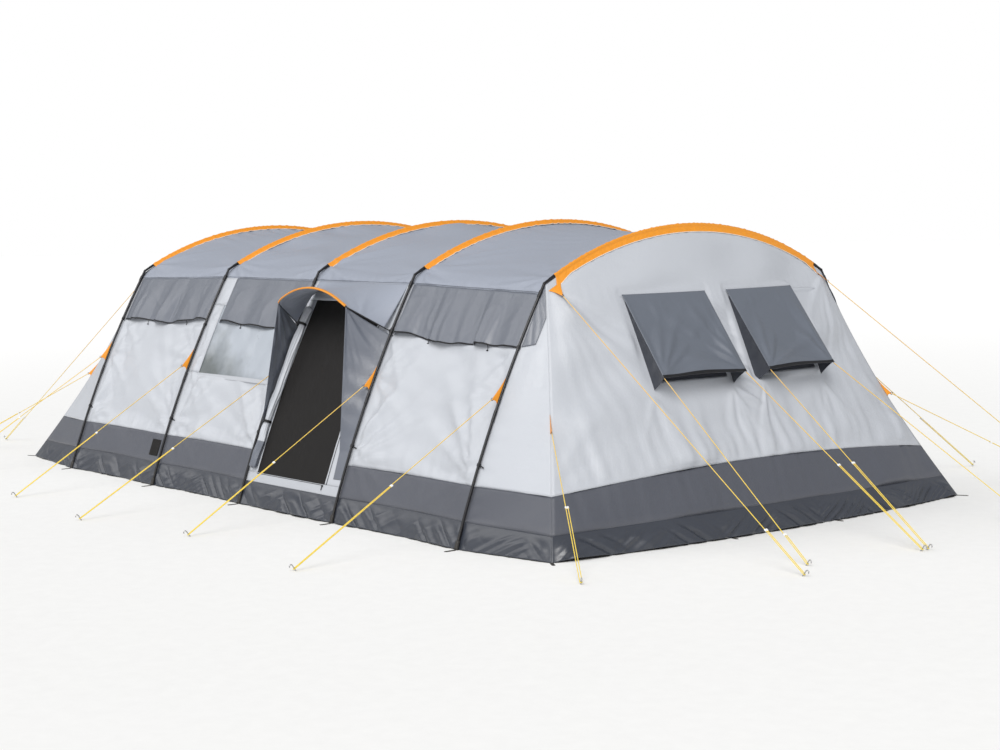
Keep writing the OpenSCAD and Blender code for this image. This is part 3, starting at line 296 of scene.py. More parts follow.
def fan(s, t, root, aim, spread, reach, depth, count, seed):
    """Folds that leave one tight point: narrow ridges on rays, widening and dying with distance."""
    rng = np.random.default_rng(seed)
    ds, dt = s - root[0], t - root[1]
    far = np.hypot(ds, dt)
    rays = aim + spread * (np.linspace(-1, 1, count) + rng.uniform(-0.5, 0.5, count) / count)
    turn = (np.arctan2(dt, ds)[..., None] - rays + np.pi) % (2 * np.pi) - np.pi
    across = far[..., None] * turn / (0.012 + 0.055 * far[..., None])
    size = rng.uniform(0.5, 1.0, count) * rng.choice([1, 1, -0.7], count)
    body = (size * np.exp(-(across**2)) * (np.abs(turn) < 1.4)).sum(-1)
    return depth * body * np.exp(-((far / reach) ** 2)) * smooth(0.0, 0.05, far)


def crease(s, t, a, b, width, depth):
    """One long fold from a to b, tapering to both ends."""
    a, b = np.asarray(a, float), np.asarray(b, float)
    along = ((s - a[0]) * (b - a)[0] + (t - a[1]) * (b - a)[1]) / ((b - a) ** 2).sum()
    across = ((s - a[0]) * (b - a)[1] - (t - a[1]) * (b - a)[0]) / np.linalg.norm(b - a)
    return depth * np.exp(-((across / width) ** 2)) * np.sin(np.pi * np.clip(along, 0, 1)) ** 0.7


def hem_hold(*distances, reach=0.03):
    """Holds the cloth still at its seams: 0 at each border, 1 beyond the reach."""
    hold = 1.0
    for d in distances:
        hold = hold * smooth(0, reach, d)
    return hold


def clear_of(s, t, box, reach=0.06):
    """0 on a rectangle's rim and inside it, 1 beyond the reach: keeps folds off what is sewn there."""
    over_s = np.maximum(np.maximum(box[0] - s, s - box[1]), 0)
    over_t = np.maximum(np.maximum(box[2] - t, t - box[3]), 0)
    return smooth(0.2 * reach, reach, np.hypot(over_s, over_t))


def at_band(z, band, least):
    """Shallow folds on the band and at its seam, full ones on the wall above."""
    return mix(1, hem_hold(np.abs(z - band)), 0.7), mix(least, 1.0, smooth(band - 0.02, band + 0.08, z))


def wall_relief(bay, x, z, seed, side=-1):
    """Relief of a side wall: slow billows, folds from the legs' clips, gathers at hoops, band and roof."""
    x0, x1 = HOOPS[bay], HOOPS[bay + 1]
    top = edge_z(x)
    d = 0.014 * swell(x, z, 0.90, seed) + 0.005 * swell(x + 0.8 * z, z, 0.30, seed + 31, stretch=2.2)
    for k, root in enumerate((hoop, clip) for clip in (0.55, 1.03, 1.36) for hoop in (x0, x1)):
        d = d + fan(x, z, root, np.pi * (k % 2), 0.9, 0.55, 0.018, 6, seed + k)
    for k, (hoop, aim, away) in enumerate(((x0, 0.75, x - x0), (x1, np.pi - 0.75, x1 - x))):
        d = d + fan(x, z, (hoop, BAND), aim, 0.6, 0.95, 0.024, 5, seed + 11 + k)
        d = d + pucker(z, away, 0.12, 0.06, 0.005, seed + 20 + k)
    d = d + pucker(x, np.abs(z - BAND), 0.14, 0.09, 0.005, seed + 22)
    seam, least = at_band(z, BAND, 0.35)
    hold = hem_hold(x - x0, x1 - x, reach=0.11) * hem_hold(top - z) * seam * least * hem_hold(z - FLAP_HEIGHT)
    under = smooth(0.0, 0.05, top - VALANCE_DROP - 0.015 - z)
    if (bay, side) == WINDOW_BAY:
        under = np.maximum(under, 1 - smooth(-1.07, -1.03, x))
        hold = hold * clear_of(x, z, SIDE_WINDOW)
    if (bay, side) == DOOR_BAY:
        under = 0.15 * smooth(0.0, 0.05, x - 0.33) * smooth(0.0, 0.05, 1.27 - x) * under
    return fold_depth() * d * hold * under


def end_relief(y, z, seed, e):
    """Relief of an end wall: billows, long folds from the shoulders to the corners, gathers along the band."""
    side = end_width(np.clip(1 - z / 1.75, 0, 1))
    band = band_top(y / CORNER)
    top = end_top(np.clip(y / END_HALF, -1, 1))
    d = 0.022 * swell(y, z, 0.95, seed) + 0.010 * swell(y + 0.5 * z, z, 0.32, seed + 90, stretch=2.4)
    d = d + 0.005 * wave(y, 0.16, seed + 40) * smooth(0.55, 0.10, z - band)
    for s in (-1, 1):
        for root, aim, spread, reach, depth, count, extra in (
            ((s * 1.36, 1.72), -np.pi / 2 - s * 0.42, 0.5, 0.9, 0.020, 7, 0),
            ((s * 1.9, BAND), np.pi / 2 + s * 0.6, 0.55, 0.8, 0.020, 6, 4),
            ((s * 0.16, 0.98), -np.pi / 2 - s * 0.1, 0.4, 0.42, 0.013, 6, 50),
            ((s * 0.86, 0.96), -np.pi / 2, 0.5, 0.30, 0.016, 5, 60),
        ):
            d = d + fan(y, z, root, aim, spread, reach, depth, count, seed + extra + s)
        d = d + crease(y, z, (s * 1.25, 1.55), (s * 0.35, 0.55), 0.05, 0.008)
        d = d + pucker(z, np.abs(side - s * y), 0.13, 0.08, 0.005, seed + 30 + s)
    if e > 0:
        between = np.exp(-((y / 0.085) ** 2)) * smooth(1.62, 1.5, z) * smooth(0.7, 0.9, z)
        d = d + 0.008 * wave(z + 0.6 * y, 0.085, seed + 70) * between
    d = d + pucker(y, np.abs(z - band), 0.12, 0.10, 0.006, seed + 8)
    d = d + pucker(y, np.abs(z - FLAP_TOP), 0.07, 0.03, 0.002, seed + 9)
    seam, least = at_band(z, band, 0.45)
    hold = hem_hold(np.abs(side - np.abs(y)), reach=0.20) * hem_hold(top - z) * seam * least
    hold = hold * smooth(0.0, 0.05, top - SLEEVE_LAP - z) * hem_hold(z - flap_top_line(y / CORNER))
    if e > 0:
        for s in (-1, 1):
            hold = hold * clear_of(y, z, (*sorted((s * FLAP_IN, s * FLAP_OUT)), END_WINDOW[2], FLAP_TOP))
    return fold_depth() * d * hold


def mud_relief(s, z, seed, wild=1.0):
    """Relief of the loose mud flap: slanting folds of film, in some stretches deep, that grow towards the ground."""
    lean = s + 1.4 * z
    deep = smooth(-0.7, 0.7, wave(s, 0.9, seed + 5, 3))
    d = 0.014 * (0.5 + 0.5 * np.clip(wave(lean, 0.60, seed, 4), -1, 1))
    d = d + 0.019 * deep * np.abs(np.sin(1.5 * wave(lean, 0.40, seed + 1, 3)))
    d = d + 0.012 * (1.1 - deep) * ridged(wave(s - 1.8 * z, 0.26, seed + 2, 3), 1.0)
    return fold_depth() * smooth(0.0, 0.10, FLAP_HEIGHT - z) * np.minimum(d * wild, 0.048)


# ---------------------------------------------------------------- meshes from grids
def grid(a0, a1, b0, b1, na, nb):
    """Two arrays, columns from a0 to a1 and rows from b0 to b1."""
    return np.meshgrid(np.linspace(a0, a1, na + 1), np.linspace(b0, b1, nb + 1))


def outward(points, centre=(0, 0, 0.9)):
    """Unit normals of a grid, turned away from a centre."""
    n = np.cross(np.gradient(points, axis=1), np.gradient(points, axis=0))
    n = n / np.maximum(np.linalg.norm(n, axis=-1, keepdims=True), 1e-12)
    away = points.reshape(-1, 3).mean(0) - np.asarray(centre)
    return n if (n.reshape(-1, 3).mean(0) * away).sum() >= 0 else -n


def lift(base, d):
    """A grid moved out along its normals by d, never into the ground."""
    points = base + d[..., None] * outward(base)
    points[..., 2] = np.maximum(points[..., 2], GROUND_SKIN)
    return points


def lengths(path):
    """Length run along a path at each of its points."""
    return np.concatenate([[0], np.cumsum(np.linalg.norm(np.diff(path, axis=0), axis=1))])


def patch(points, s, t, facing=None, wrap=False, caps=False, flat=None):
    """A grid as vertices, faces, face corners' UVs and area (of a flat base, if given); wrap joins its sides."""
    rows, cols = points.shape[:2]
    index = np.arange(rows * cols).reshape(rows, cols)
    uv = np.stack(np.broadcast_arrays(s, t), -1)
    if wrap:
        index = np.concatenate([index, index[:, :1]], axis=1)
        step = 2 * uv[0, -1, 0] - uv[0, -2, 0] - uv[0, 0, 0]
        uv = np.concatenate([uv, uv[:, :1] + [step, 0]], axis=1)
    quads = np.stack([index[:-1, :-1], index[:-1, 1:], index[1:, 1:], index[1:, :-1]], -1).reshape(-1, 4)
    corner = np.stack([uv[:-1, :-1], uv[:-1, 1:], uv[1:, 1:], uv[1:, :-1]], -2).reshape(-1, 4, 2)
    facing = outward(points) if facing is None else np.broadcast_to(facing, points.shape)

    def across(grid_points):
        p = grid_points.reshape(-1, 3)[quads]
        return np.cross(p[:, 2] - p[:, 0], p[:, 3] - p[:, 1])

    area = 0.5 * np.linalg.norm(across(points if flat is None else flat), axis=1).sum()
    if (across(points) * facing.reshape(-1, 3)[quads[:, 0]]).sum() < 0:
        quads, corner = quads[:, ::-1], corner[:, ::-1]
    faces, corners = [quads], [corner]
    if caps:
        faces += [index[:1, :-1][:, ::-1], index[-1:, :-1]]
        corners += [np.zeros((1, cols, 2))] * 2
    return points.reshape(-1, 3), faces, corners, area


def tube(path, radius, sides=10, spin=(0.21, 0.13, 0.97)):
    """A round tube with closed ends: rings of points round a path, in a frame carried along it."""
    path = np.asarray(path, float)
    t = unit(np.gradient(path, axis=0))
    a = unit(np.cross(t, np.asarray(spin, float)))
    b = np.cross(t, a)
    turn = np.linspace(0, 2 * np.pi, sides, endpoint=False)
    r = np.broadcast_to(radius, (len(path),))[:, None, None]
    points = path[:, None] + r * (np.cos(turn)[:, None] * a[:, None] + np.sin(turn)[:, None] * b[:, None])
    run = lengths(path)[:, None]
    return patch(points, turn[None] / (2 * np.pi), run, facing=points - path[:, None], wrap=True, caps=True)


def piece(name, patches, kind, body="tent", node=None, slot=None, thick=0.0, weld=False):
    """One mesh object from patches, riding on a body and standing for a CAD node."""
    verts, starts, indices, uvs, base, at = [], [], [], [], 0, 0
    for points, faces, corners, _ in patches:
        verts.append(points)
        for f, c in zip(faces, corners):
            starts.append(at + np.arange(len(f)) * f.shape[1])
            indices.append((f + base).ravel())
            uvs.append(c.reshape(-1, 2))
            at += f.size
        base += len(points)
    verts, starts, indices, uvs = (np.concatenate(part) for part in (verts, starts, indices, uvs))
    mesh = bpy.data.meshes.new(name)
    mesh.vertices.add(len(verts))
    mesh.vertices.foreach_set("co", verts.astype(np.float32).ravel())
    mesh.loops.add(len(indices))
    mesh.loops.foreach_set("vertex_index", indices.astype(np.int32))
    mesh.polygons.add(len(starts))
    mesh.polygons.foreach_set("loop_start", starts.astype(np.int32))
    mesh.update(calc_edges=True)
    mesh.uv_layers.new(name="cloth").data.foreach_set("uv", uvs.astype(np.float32).ravel())
    mesh.polygons.foreach_set("use_smooth", np.full(len(starts), True))
    mesh.validate()
    if weld:
        soft = bmesh.new()
        soft.from_mesh(mesh)
        bmesh.ops.remove_doubles(soft, verts=soft.verts, dist=0.0003)
        soft.to_mesh(mesh)
        soft.free()
    mesh.materials.append(finish(kind))
    obj = bpy.data.objects.new(name, mesh)
    bpy.context.scene.collection.objects.link(obj)
    if thick:
        wall = obj.modifiers.new("thickness", "SOLIDIFY")
        wall.thickness, wall.offset = thick, -1
    if body:
        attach(obj, body)
    if node:
        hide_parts(node)
    return obj


def sew(name, sheets, kind, flat, rest, held="stretched", area=True, thick=THICK, **more):
    """A cloth: a piece of sheets; its flat cut (None follows from the area) is worked out but not used, and its hold,
    its rest and area are not used.
    """
    obj = piece(name, sheets, kind, thick=thick, **more)
    total = sum(sheet[3] for sheet in sheets)
    flat = (float(flat[0] or total / flat[1]), float(flat[1] or total / flat[0]))
    return obj


# ---------------------------------------------------------------- finishes
# Each finish: its colour or the name of one in the panel, its roughness, and what differs from PLAIN
PLAIN = dict(metal=0.0, sheen=0.0, coat=0.0, fading=0.6, dust=0.3, weave=0.0, threads=5200.0, crumple=0.0,
             alpha=1.0, specular=0.5, faded=1.12)
WOVEN = dict(sheen=0.05, weave=0.0004, dust=0.0)
FINISHES = {
    "wall_cloth": ("wall", 0.42, dict(WOVEN, crumple=0.007, dust=0.15)),
    "roof_cloth": ("roof", 0.50, dict(WOVEN, crumple=0.005, fading=0.35, specular=0.4)),
    "band_cloth": ("band", 0.42, dict(WOVEN, crumple=0.006, dust=0.2)),
    "valance_cloth": ("valance", 0.38, dict(WOVEN, crumple=0.005, specular=0.85)),
    "flap_cloth": ("flap", 0.43, dict(WOVEN, crumple=0.006)),
    "orange_cloth": ("sleeve", 0.5, dict(WOVEN, sheen=0.1, weave=0.0005, crumple=0.006, faded=1.05)),
    "piping": ((0.86, 0.80, 0.70), 0.5, dict(WOVEN, sheen=0.1)),
    "strip_cloth": ((0.44, 0.46, 0.50), 0.55, dict(sheen=0.2, weave=0.0005, crumple=0.006, dust=0.2)),
    "mud_flap_film": ((0.030, 0.035, 0.048), 0.38, dict(crumple=0.005, dust=0.0, faded=1.4, specular=0.85)),
    "floor_film": ((0.10, 0.105, 0.11), 0.45, dict(coat=0.1, weave=0.0006, threads=2600.0, crumple=0.02, dust=0.2)),
    "mesh": ((0.020, 0.019, 0.019), 0.8, dict(weave=0.0005, threads=2400.0, dust=0.1, alpha=0.94, specular=0.15)),
    "webbing": ((0.012, 0.012, 0.014), 0.6, dict(weave=0.0006, threads=2600.0, dust=0.2, specular=0.3)),
    "black_plastic": ((0.010, 0.010, 0.012), 0.42, dict(crumple=0.001, dust=0.15, faded=1.6, specular=0.35)),
    "pole_black": ((0.010, 0.010, 0.012), 0.34, dict(dust=0.1, faded=1.6, specular=0.45)),
    "runner_plastic": ((0.80, 0.80, 0.78), 0.3, dict(coat=0.3, dust=0.1)),
    "peg_steel": ((0.55, 0.55, 0.56), 0.35, dict(metal=1.0, crumple=0.001, dust=0.2, faded=0.8)),
    # painted shade: a near-black cloth for the flap gussets and the front window panes, which lie in shade under the
    # flaps
    "dark_cover": ((0.038, 0.042, 0.054), 0.45, dict(sheen=0.2, weave=0.0004, crumple=0.008, dust=0.0)),
    "clear_film": ((0.46, 0.50, 0.56), 0.30, dict(coat=0.1, crumple=0.008, dust=0.0, alpha=0.88, fading=0.3)),
    "guy_rope": ("rope", 0.6, dict(sheen=0.3, dust=0.1)),
}


class Wires:
    """Short calls that add nodes to a node tree and feed their sockets."""

    def __init__(self, tree):
        self.tree = tree

    def feed(self, socket, value):
        """Feeds a socket from another socket, or gives it a plain value."""
        if isinstance(value, bpy.types.NodeSocket):
            self.tree.links.new(value, socket)
        else:
            socket.default_value = value

    def add(self, kind, inputs, **settings):
        node = self.tree.nodes.new("ShaderNode" + kind)
        for key, value in settings.items():
            setattr(node, key, value)
        for key, value in inputs.items():
            self.feed(node.inputs[key], value)
        return node

    def maths(self, kind, a, b=None, clamp=False):
        inputs = {0: a} if b is None else {0: a, 1: b}
        return self.add("Math", inputs, operation=kind, use_clamp=clamp).outputs[0]

    def times(self, a, b, clamp=False):
        return self.maths("MULTIPLY", a, b, clamp)

    def plus(self, a, b, clamp=False):
        return self.maths("ADD", a, b, clamp)

    def less(self, a, b, clamp=False):
        return self.maths("SUBTRACT", a, b, clamp)

    def place(self):
        return self.add("TexCoord", {}).outputs["Object"]

    def parts(self, vector):
        return self.add("SeparateXYZ", {0: vector}).outputs

    def noise(self, scale, detail, rough):
        inputs = {"Scale": scale, "Detail": detail, "Roughness": rough, "Vector": self.place()}
        return self.add("TexNoise", inputs).outputs["Fac"]

    def blend(self, factor, a, b):
        return self.add("Mix", {"Factor": factor, "A": a, "B": b}, data_type="RGBA").outputs["Result"]

    def bump(self, height, strength, distance, normal=None):
        inputs = {"Strength": strength, "Distance": distance, "Height": height}
        if normal:
            inputs["Normal"] = normal
        return self.add("Bump", inputs).outputs["Normal"]


def node_group(name, inputs, outputs, build):
    """A shader node group with named sockets, made once; build wires it."""
    if name in bpy.data.node_groups:
        return bpy.data.node_groups[name]
    group = bpy.data.node_groups.new(name, "ShaderNodeTree")
    for label, kind, value in inputs:
        group.interface.new_socket(label, in_out="INPUT", socket_type="NodeSocket" + kind).default_value = value
    for label, kind in outputs:
        group.interface.new_socket(label, in_out="OUTPUT", socket_type="NodeSocket" + kind)
    put = group.nodes.new("NodeGroupOutput")
    wires = Wires(group)
    for label, value in build(wires, group.nodes.new("NodeGroupInput").outputs).items():
        wires.feed(put.inputs[label], value)
    return group


def weave_group():
    """Plain weave with ripstop cords: two crossed sines of the cloth's own UVs, and a coarser square grid."""

    def build(w, given):
        part = w.parts(w.add("UVMap", {}, uv_map="cloth").outputs[0])
        threads = [w.maths("SINE", w.times(part[axis], given["Threads"])) for axis in (0, 1)]
        cords = [w.maths("ABSOLUTE", w.maths("SINE", w.times(part[axis], given["Cords"]))) for axis in (0, 1)]
        cord = w.maths("MAXIMUM", *(w.maths("GREATER_THAN", c, 0.985) for c in cords))
        return {"Height": w.plus(w.times(w.times(*threads), 0.5), w.times(cord, 0.8))}

    return node_group("Weave", [("Threads", "Float", 5200.0), ("Cords", "Float", 520.0)], [("Height", "Float")], build)


def crumple_group():
    """Fine creases left from packing: ridges of a slow and a fast noise over the whole cloth."""

    def build(w, given):
        slow, fast = (w.maths("ABSOLUTE", w.less(w.noise(*n), 0.5)) for n in ((5.0, 3.0, 0.55), (17.0, 3.0, 0.6)))
        return {"Height": w.times(w.plus(slow, w.times(fast, 0.35)), given["Depth"])}

    return node_group("Crumple", [("Depth", "Float", 1.0)], [("Height", "Float")], build)


def weather_group():
    """Colour that varies over the cloth: slow patches of fading, and dust that rises from the ground."""

    def build(w, given):
        patchy = w.noise(1.7, 4.0, 0.6)
        low = w.less(1.0, w.times(w.parts(w.place())[2], 4.5), clamp=True)
        dust = w.times(w.times(low, w.noise(11.0, 4.0, 0.7)), given["Dust"])
        shade = w.blend(w.times(patchy, given["Fading"]), given["Colour"], given["Faded"])
        rough = w.plus(w.plus(given["Roughness"], w.times(patchy, 0.14)), w.times(dust, 0.4))
        return {"Colour": w.blend(dust, shade, (0.42, 0.38, 0.31, 1)), "Roughness": rough}

    inputs = [("Colour", "Color", (0.5, 0.5, 0.5, 1)), ("Faded", "Color", (0.6, 0.6, 0.6, 1)),
              ("Fading", "Float", 0.6), ("Dust", "Float", 0.5), ("Roughness", "Float", 0.5)]
    return node_group("Weather", inputs, [("Colour", "Color"), ("Roughness", "Float")], build)


def tint(colour, by=1.0):
    return tuple(min(1.0, c * by) for c in colour[:3]) + (1.0,)


def film_painted_shade(w, colour):
    """Window film with painted shade: a darker colour that gathers low and at the rear end of the window, in cloudy
    patches.
    """
    part = w.parts(w.place())
    low, back = w.times(w.less(1.16, part[2]), 2.6), w.times(w.less(-0.55, part[0]), 1.3)
    cloud = w.times(w.less(w.noise(3.1, 3.0, 0.6), 0.5), 1.6)
    # painted shade colour, mixed in by how low and how far back a point is, with cloudy noise
    return w.blend(w.times(w.plus(w.plus(low, back), cloud, clamp=True), 0.85), colour, (0.085, 0.10, 0.095, 1))


def two_tone_rope(w, colour):
    """The rope's own colour near the ground, turning to orange towards the tent."""
    return w.blend(w.times(w.parts(w.place())[2], 0.9, clamp=True), colour, (0.90, 0.56, 0.14, 1))


def braid(w):
    """Two crossed spirals in the rope's own UVs."""
    part = w.parts(w.add("UVMap", {}, uv_map="cloth").outputs[0])
    around, along = w.times(part[0], 6 * 2 * np.pi), w.times(part[1], 900.0)
    strands = [w.maths("SINE", turn) for turn in (w.plus(along, around), w.less(along, around))]
    return w.bump(w.maths("MAXIMUM", *strands), 0.7, 0.0008)


def finish(kind):
    """A finished material: weathered colour, woven and crumpled relief, and the shader's own gloss."""
    name = "sewn_" + kind
    if name in bpy.data.materials:
        return bpy.data.materials[name]
    colour, roughness, own = FINISHES[kind]
    look = {**PLAIN, **own}
    if isinstance(colour, str):
        colour = getattr(bpy.context.scene.tent_cloth, colour + "_colour")
    material = bpy.data.materials.new(name)
    material.use_nodes = True
    w = Wires(material.node_tree)
    inputs = {"Colour": tint(colour), "Faded": tint(colour, look["faded"]), "Fading": look["fading"],
              "Dust": look["dust"], "Roughness": roughness - 0.07}
    weather = w.add("Group", inputs, node_tree=weather_group()).outputs
    put = {"Base Color": weather["Colour"], "Roughness": weather["Roughness"], "Metallic": look["metal"],
           "Sheen Weight": look["sheen"], "Sheen Roughness": 0.4, "Coat Weight": look["coat"], "Coat Roughness": 0.15,
           "Specular IOR Level": look["specular"], "Alpha": look["alpha"]}
    if look["crumple"]:
        creased = w.add("Group", {"Depth": 1.0}, node_tree=crumple_group()).outputs["Height"]
        put["Normal"] = w.bump(creased, 0.6, look["crumple"])
    if look["weave"]:
        threads = {"Threads": look["threads"], "Cords": look["threads"] / 10}
        woven = w.add("Group", threads, node_tree=weave_group()).outputs["Height"]
        put["Normal"] = w.bump(woven, 0.35, look["weave"], put.get("Normal"))
    # painted shade on the window film, low down and towards its rear end
    if kind == "clear_film":
        put["Base Color"] = film_painted_shade(w, put["Base Color"])
    if kind == "guy_rope":
        put["Base Color"], put["Normal"] = two_tone_rope(w, put["Base Color"]), braid(w)
    shader = w.tree.nodes["Principled BSDF"]
    for label, value in put.items():
        w.feed(shader.inputs[label], value)
    return material


def repaint(kind, *nodes):
    """Gives CAD nodes their finish."""
    for node in nodes:
        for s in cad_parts[node].material_slots:
            s.link, s.material = "OBJECT", finish(kind)



# ---------------------------------------------------------------- properties
def colour_property(name, description, default):
    return bpy.props.FloatVectorProperty(
        name=name, description=description, subtype="COLOR", size=3, min=0, max=1, default=default)


class TentCloth(bpy.types.PropertyGroup):
    """Colours and slackness of the tent's cloths."""

    wall_colour: colour_property("Walls", "Colour of the walls", (0.475, 0.497, 0.54))
    roof_colour: colour_property("Roof", "Colour of the roof", (0.295, 0.322, 0.385))
    valance_colour: colour_property("Valances", "Colour of the valances and cheeks", (0.120, 0.133, 0.165))
    band_colour: colour_property("Band", "Colour of the band above the mud flap", (0.082, 0.088, 0.108))
    flap_colour: colour_property("Window flaps", "Colour of the window flaps", (0.122, 0.138, 0.169))
    sleeve_colour: colour_property("Sleeves", "Colour of the pole sleeves and tabs", (0.78, 0.290, 0.014))
    rope_colour: colour_property("Ropes", "Colour of the guy ropes near the ground", (0.92, 0.70, 0.06))
    fold_depth: bpy.props.FloatProperty(
        name="Folds", description="Depth of the cloth's folds", default=1.0, min=0, max=2)


class TentStage(bpy.types.PropertyGroup):
    """Light and floor of the studio."""

    sun: bpy.props.FloatProperty(
        name="Key light", description="Strength of the large soft key light", default=2.55, min=0, max=8)
    sky: bpy.props.FloatProperty(
        name="Sky", description="Strength of the light from all round", default=0.42, min=0, max=3)
    floor: colour_property("Floor", "Colour of the floor", (0.875, 0.875, 0.87))


# ---------------------------------------------------------------- stage
class TENT_OT_stage(bpy.types.Operator):
    """Camera, floor, key light and sky"""

    bl_idname = "tent.stage"
    bl_label = "Stage"

    def execute(self, context):
        set_camera(context.scene)
        set_floor(context.scene.tent_stage)
        set_light(context.scene, context.scene.tent_stage)
        return {"FINISHED"}


def set_camera(scene):
    """A long lens that looks at the tent's near front corner, a little above eye height."""
    yaw, pitch, roll = np.radians([51.596, 5.009, -1.001])
    ahead = np.array([-np.sin(yaw) * np.cos(pitch), np.cos(yaw) * np.cos(pitch), -np.sin(pitch)])
    right = np.array([np.cos(yaw), np.sin(yaw), 0.0])
    up = np.cross(right, ahead)
    place = np.eye(4)
    place[:3, 0] = right * np.cos(roll) + up * np.sin(roll)
    place[:3, 1] = up * np.cos(roll) - right * np.sin(roll)
    place[:3, 2], place[:3, 3] = -ahead, (13.063, -9.774, 2.268)
    camera = bpy.data.objects.new("camera", bpy.data.cameras.new("camera"))
    camera.data.sensor_width, camera.data.lens, camera.data.clip_end = 36, 69.14, 200
    camera.matrix_world = Matrix(place.tolist())
    scene.collection.objects.link(camera)
    scene.camera = camera


def set_floor(stage):
    """A wide disc with a finely mottled pale finish, white to the camera far from the tent."""
    sides = 96
    ring, turn = (a[:, :-1] for a in grid(0, 2 * np.pi, 0, 1, sides, 40))
    reach = 0.2 + 90 * turn**2
    rim = stack(reach * np.cos(ring), reach * np.sin(ring), 0)
    points, faces, _, _ = patch(rim, ring, turn, facing=(0, 0, 1), wrap=True)
    mesh = bpy.data.meshes.new("floor")
    mesh.from_pydata(points.tolist(), [], faces[0].tolist() + [list(range(sides))])
    material = bpy.data.materials.new("pale_floor")
    material.use_nodes = True
    w = Wires(material.node_tree)
    grain = w.blend(w.noise(9.0, 6.0, 0.65), tint(stage.floor, 0.96), tint(stage.floor, 1.04))
    length = w.add("VectorMath", {0: w.place()}, operation="LENGTH").outputs["Value"]
    shade = w.blend(w.times(w.less(length, 7.0), 0.07, clamp=True), grain, (0.97, 0.97, 0.97, 1))
    shader = w.tree.nodes["Principled BSDF"]
    for label, value in (("Base Color", shade), ("Roughness", 1.0), ("Specular IOR Level", 0.0)):
        w.feed(shader.inputs[label], value)
    mesh.materials.append(material)
    floor = bpy.data.objects.new("floor", mesh)
    bpy.context.scene.collection.objects.link(floor)


def set_light(scene, stage):
    """Two wide suns, from the near front corner and from the door side, and a pale sky; the camera sees white."""
    for name, share, tilt, turn, wide in (("key", 1.0, 49, 40, 34), ("side", 0.26, 52, -46, 40)):
        sun = bpy.data.objects.new(name, bpy.data.lights.new(name, "SUN"))
        sun.data.energy = stage.sun * share
        sun.data.angle = np.radians(wide)
        sun.data.color = (1.0, 0.985, 0.96)
        sun.rotation_euler = (np.radians(tilt), 0, np.radians(turn))
        scene.collection.objects.link(sun)
    scene.world = bpy.data.worlds.new("sky")
    scene.world.use_nodes = True
    w = Wires(scene.world.node_tree)
    base = w.tree.nodes["Background"]
    w.feed(base.inputs["Color"], (0.95, 0.97, 1.0, 1))
    w.feed(base.inputs["Strength"], stage.sky)
    white = w.add("Background", {"Color": (1, 1, 1, 1), "Strength": 1.0})
    path = w.add("LightPath", {}).outputs
    seen = w.maths("MAXIMUM", path["Is Camera Ray"], path["Is Transmission Ray"])
    choose = w.add("MixShader", {0: seen, 1: base.outputs[0], 2: white.outputs[0]})
    w.feed(w.tree.nodes["World Output"].inputs[0], choose.outputs[0])
    scene.view_settings.view_transform = "Standard"


# ---------------------------------------------------------------- roof, walls and ground
class TENT_OT_roof(bpy.types.Operator):
    """Four roof cloths that dip between the hoops"""

    bl_idname = "tent.roof"
    bl_label = "Roof"

    def execute(self, context):
        for bay in range(4):
            sew_roof(bay)
        return {"FINISHED"}


def sew_roof(bay):
    """Roof cloth: the roof surface with folds that run from hoop to hoop and gathers beside the sleeves."""
    x0, x1 = HOOPS[bay], HOOPS[bay + 1]
    t = np.concatenate([np.linspace(0, 1, 15)[:-1], np.linspace(1, 2, 91)[:-1], np.linspace(2, 3, 15)])
    x, t = np.meshgrid(np.linspace(x0, x1, 73), t)
    base = roof(bay, x, t)
    run = lengths(base[:, 0])[:, None] + 0 * x
    near = np.minimum(x - x0, x1 - x)
    rim = np.minimum(run, run.max() - run)
    seed = 100 + 40 * bay
    d = 0.014 * swell(x, run, 0.7, seed, stretch=2.2)
    d = d + 0.005 * wave(run, 0.16, seed + 1) * np.exp(-near / 0.20)
    for s, aim in ((x0, 0.0), (x1, np.pi)):
        for level in (0.16, run.max() - 0.16):
            d = d + fan(x, run, (s, level), aim, 0.9, 0.60, 0.017, 7, seed + int(level * 10))
    if bay in (0, 3):
        tight = (x1 - x) if bay == 3 else (x - x0)
        crown = np.exp(-(((t - 1.45) / 0.28) ** 2))
        d = d + 0.0075 * wave(run + 0.25 * tight, 0.10, seed + 9) * np.exp(-tight / 0.55) * crown
    d = d + pucker(x, rim, 0.12, 0.07, 0.004, seed + 5)
    points = lift(base, d * fold_depth() * smooth(SLEEVE_HALF - 0.01, SLEEVE_HALF + 0.03, near) * hem_hold(rim))
    sew(f"roof_cloth_{bay + 1}", [patch(points, x, run, flat=base)], "roof_cloth", (x1 - x0, None), "roof_poles",
        node=f"roof_panel_{bay + 1}")
    lines = [tube(points[row] + [0, 0, 0.0005], 0.0024, 8) for row in (1, -2)]
    piece(f"roof_edge_piping_{bay + 1}", lines, "valance_cloth")


def wall_patch(bay, side, box, seed, cells=None):
    """One rectangle of a side wall, x0, x1, z0, z1; a top above the roof's edge stops at it."""
    x0, x1, z0, z1 = box
    cells = cells or [max(6, int(length / 0.018)) for length in (x1 - x0, min(z1, 1.7) - z0)]
    x, k = grid(x0, x1, 0, 1, *cells)
    z = mix(z0, np.minimum(z1, edge_z(x)), k)
    base = side_wall(bay, x, z, side)
    return patch(lift(base, wall_relief(bay, x, z, seed, side)), x, z, flat=base)


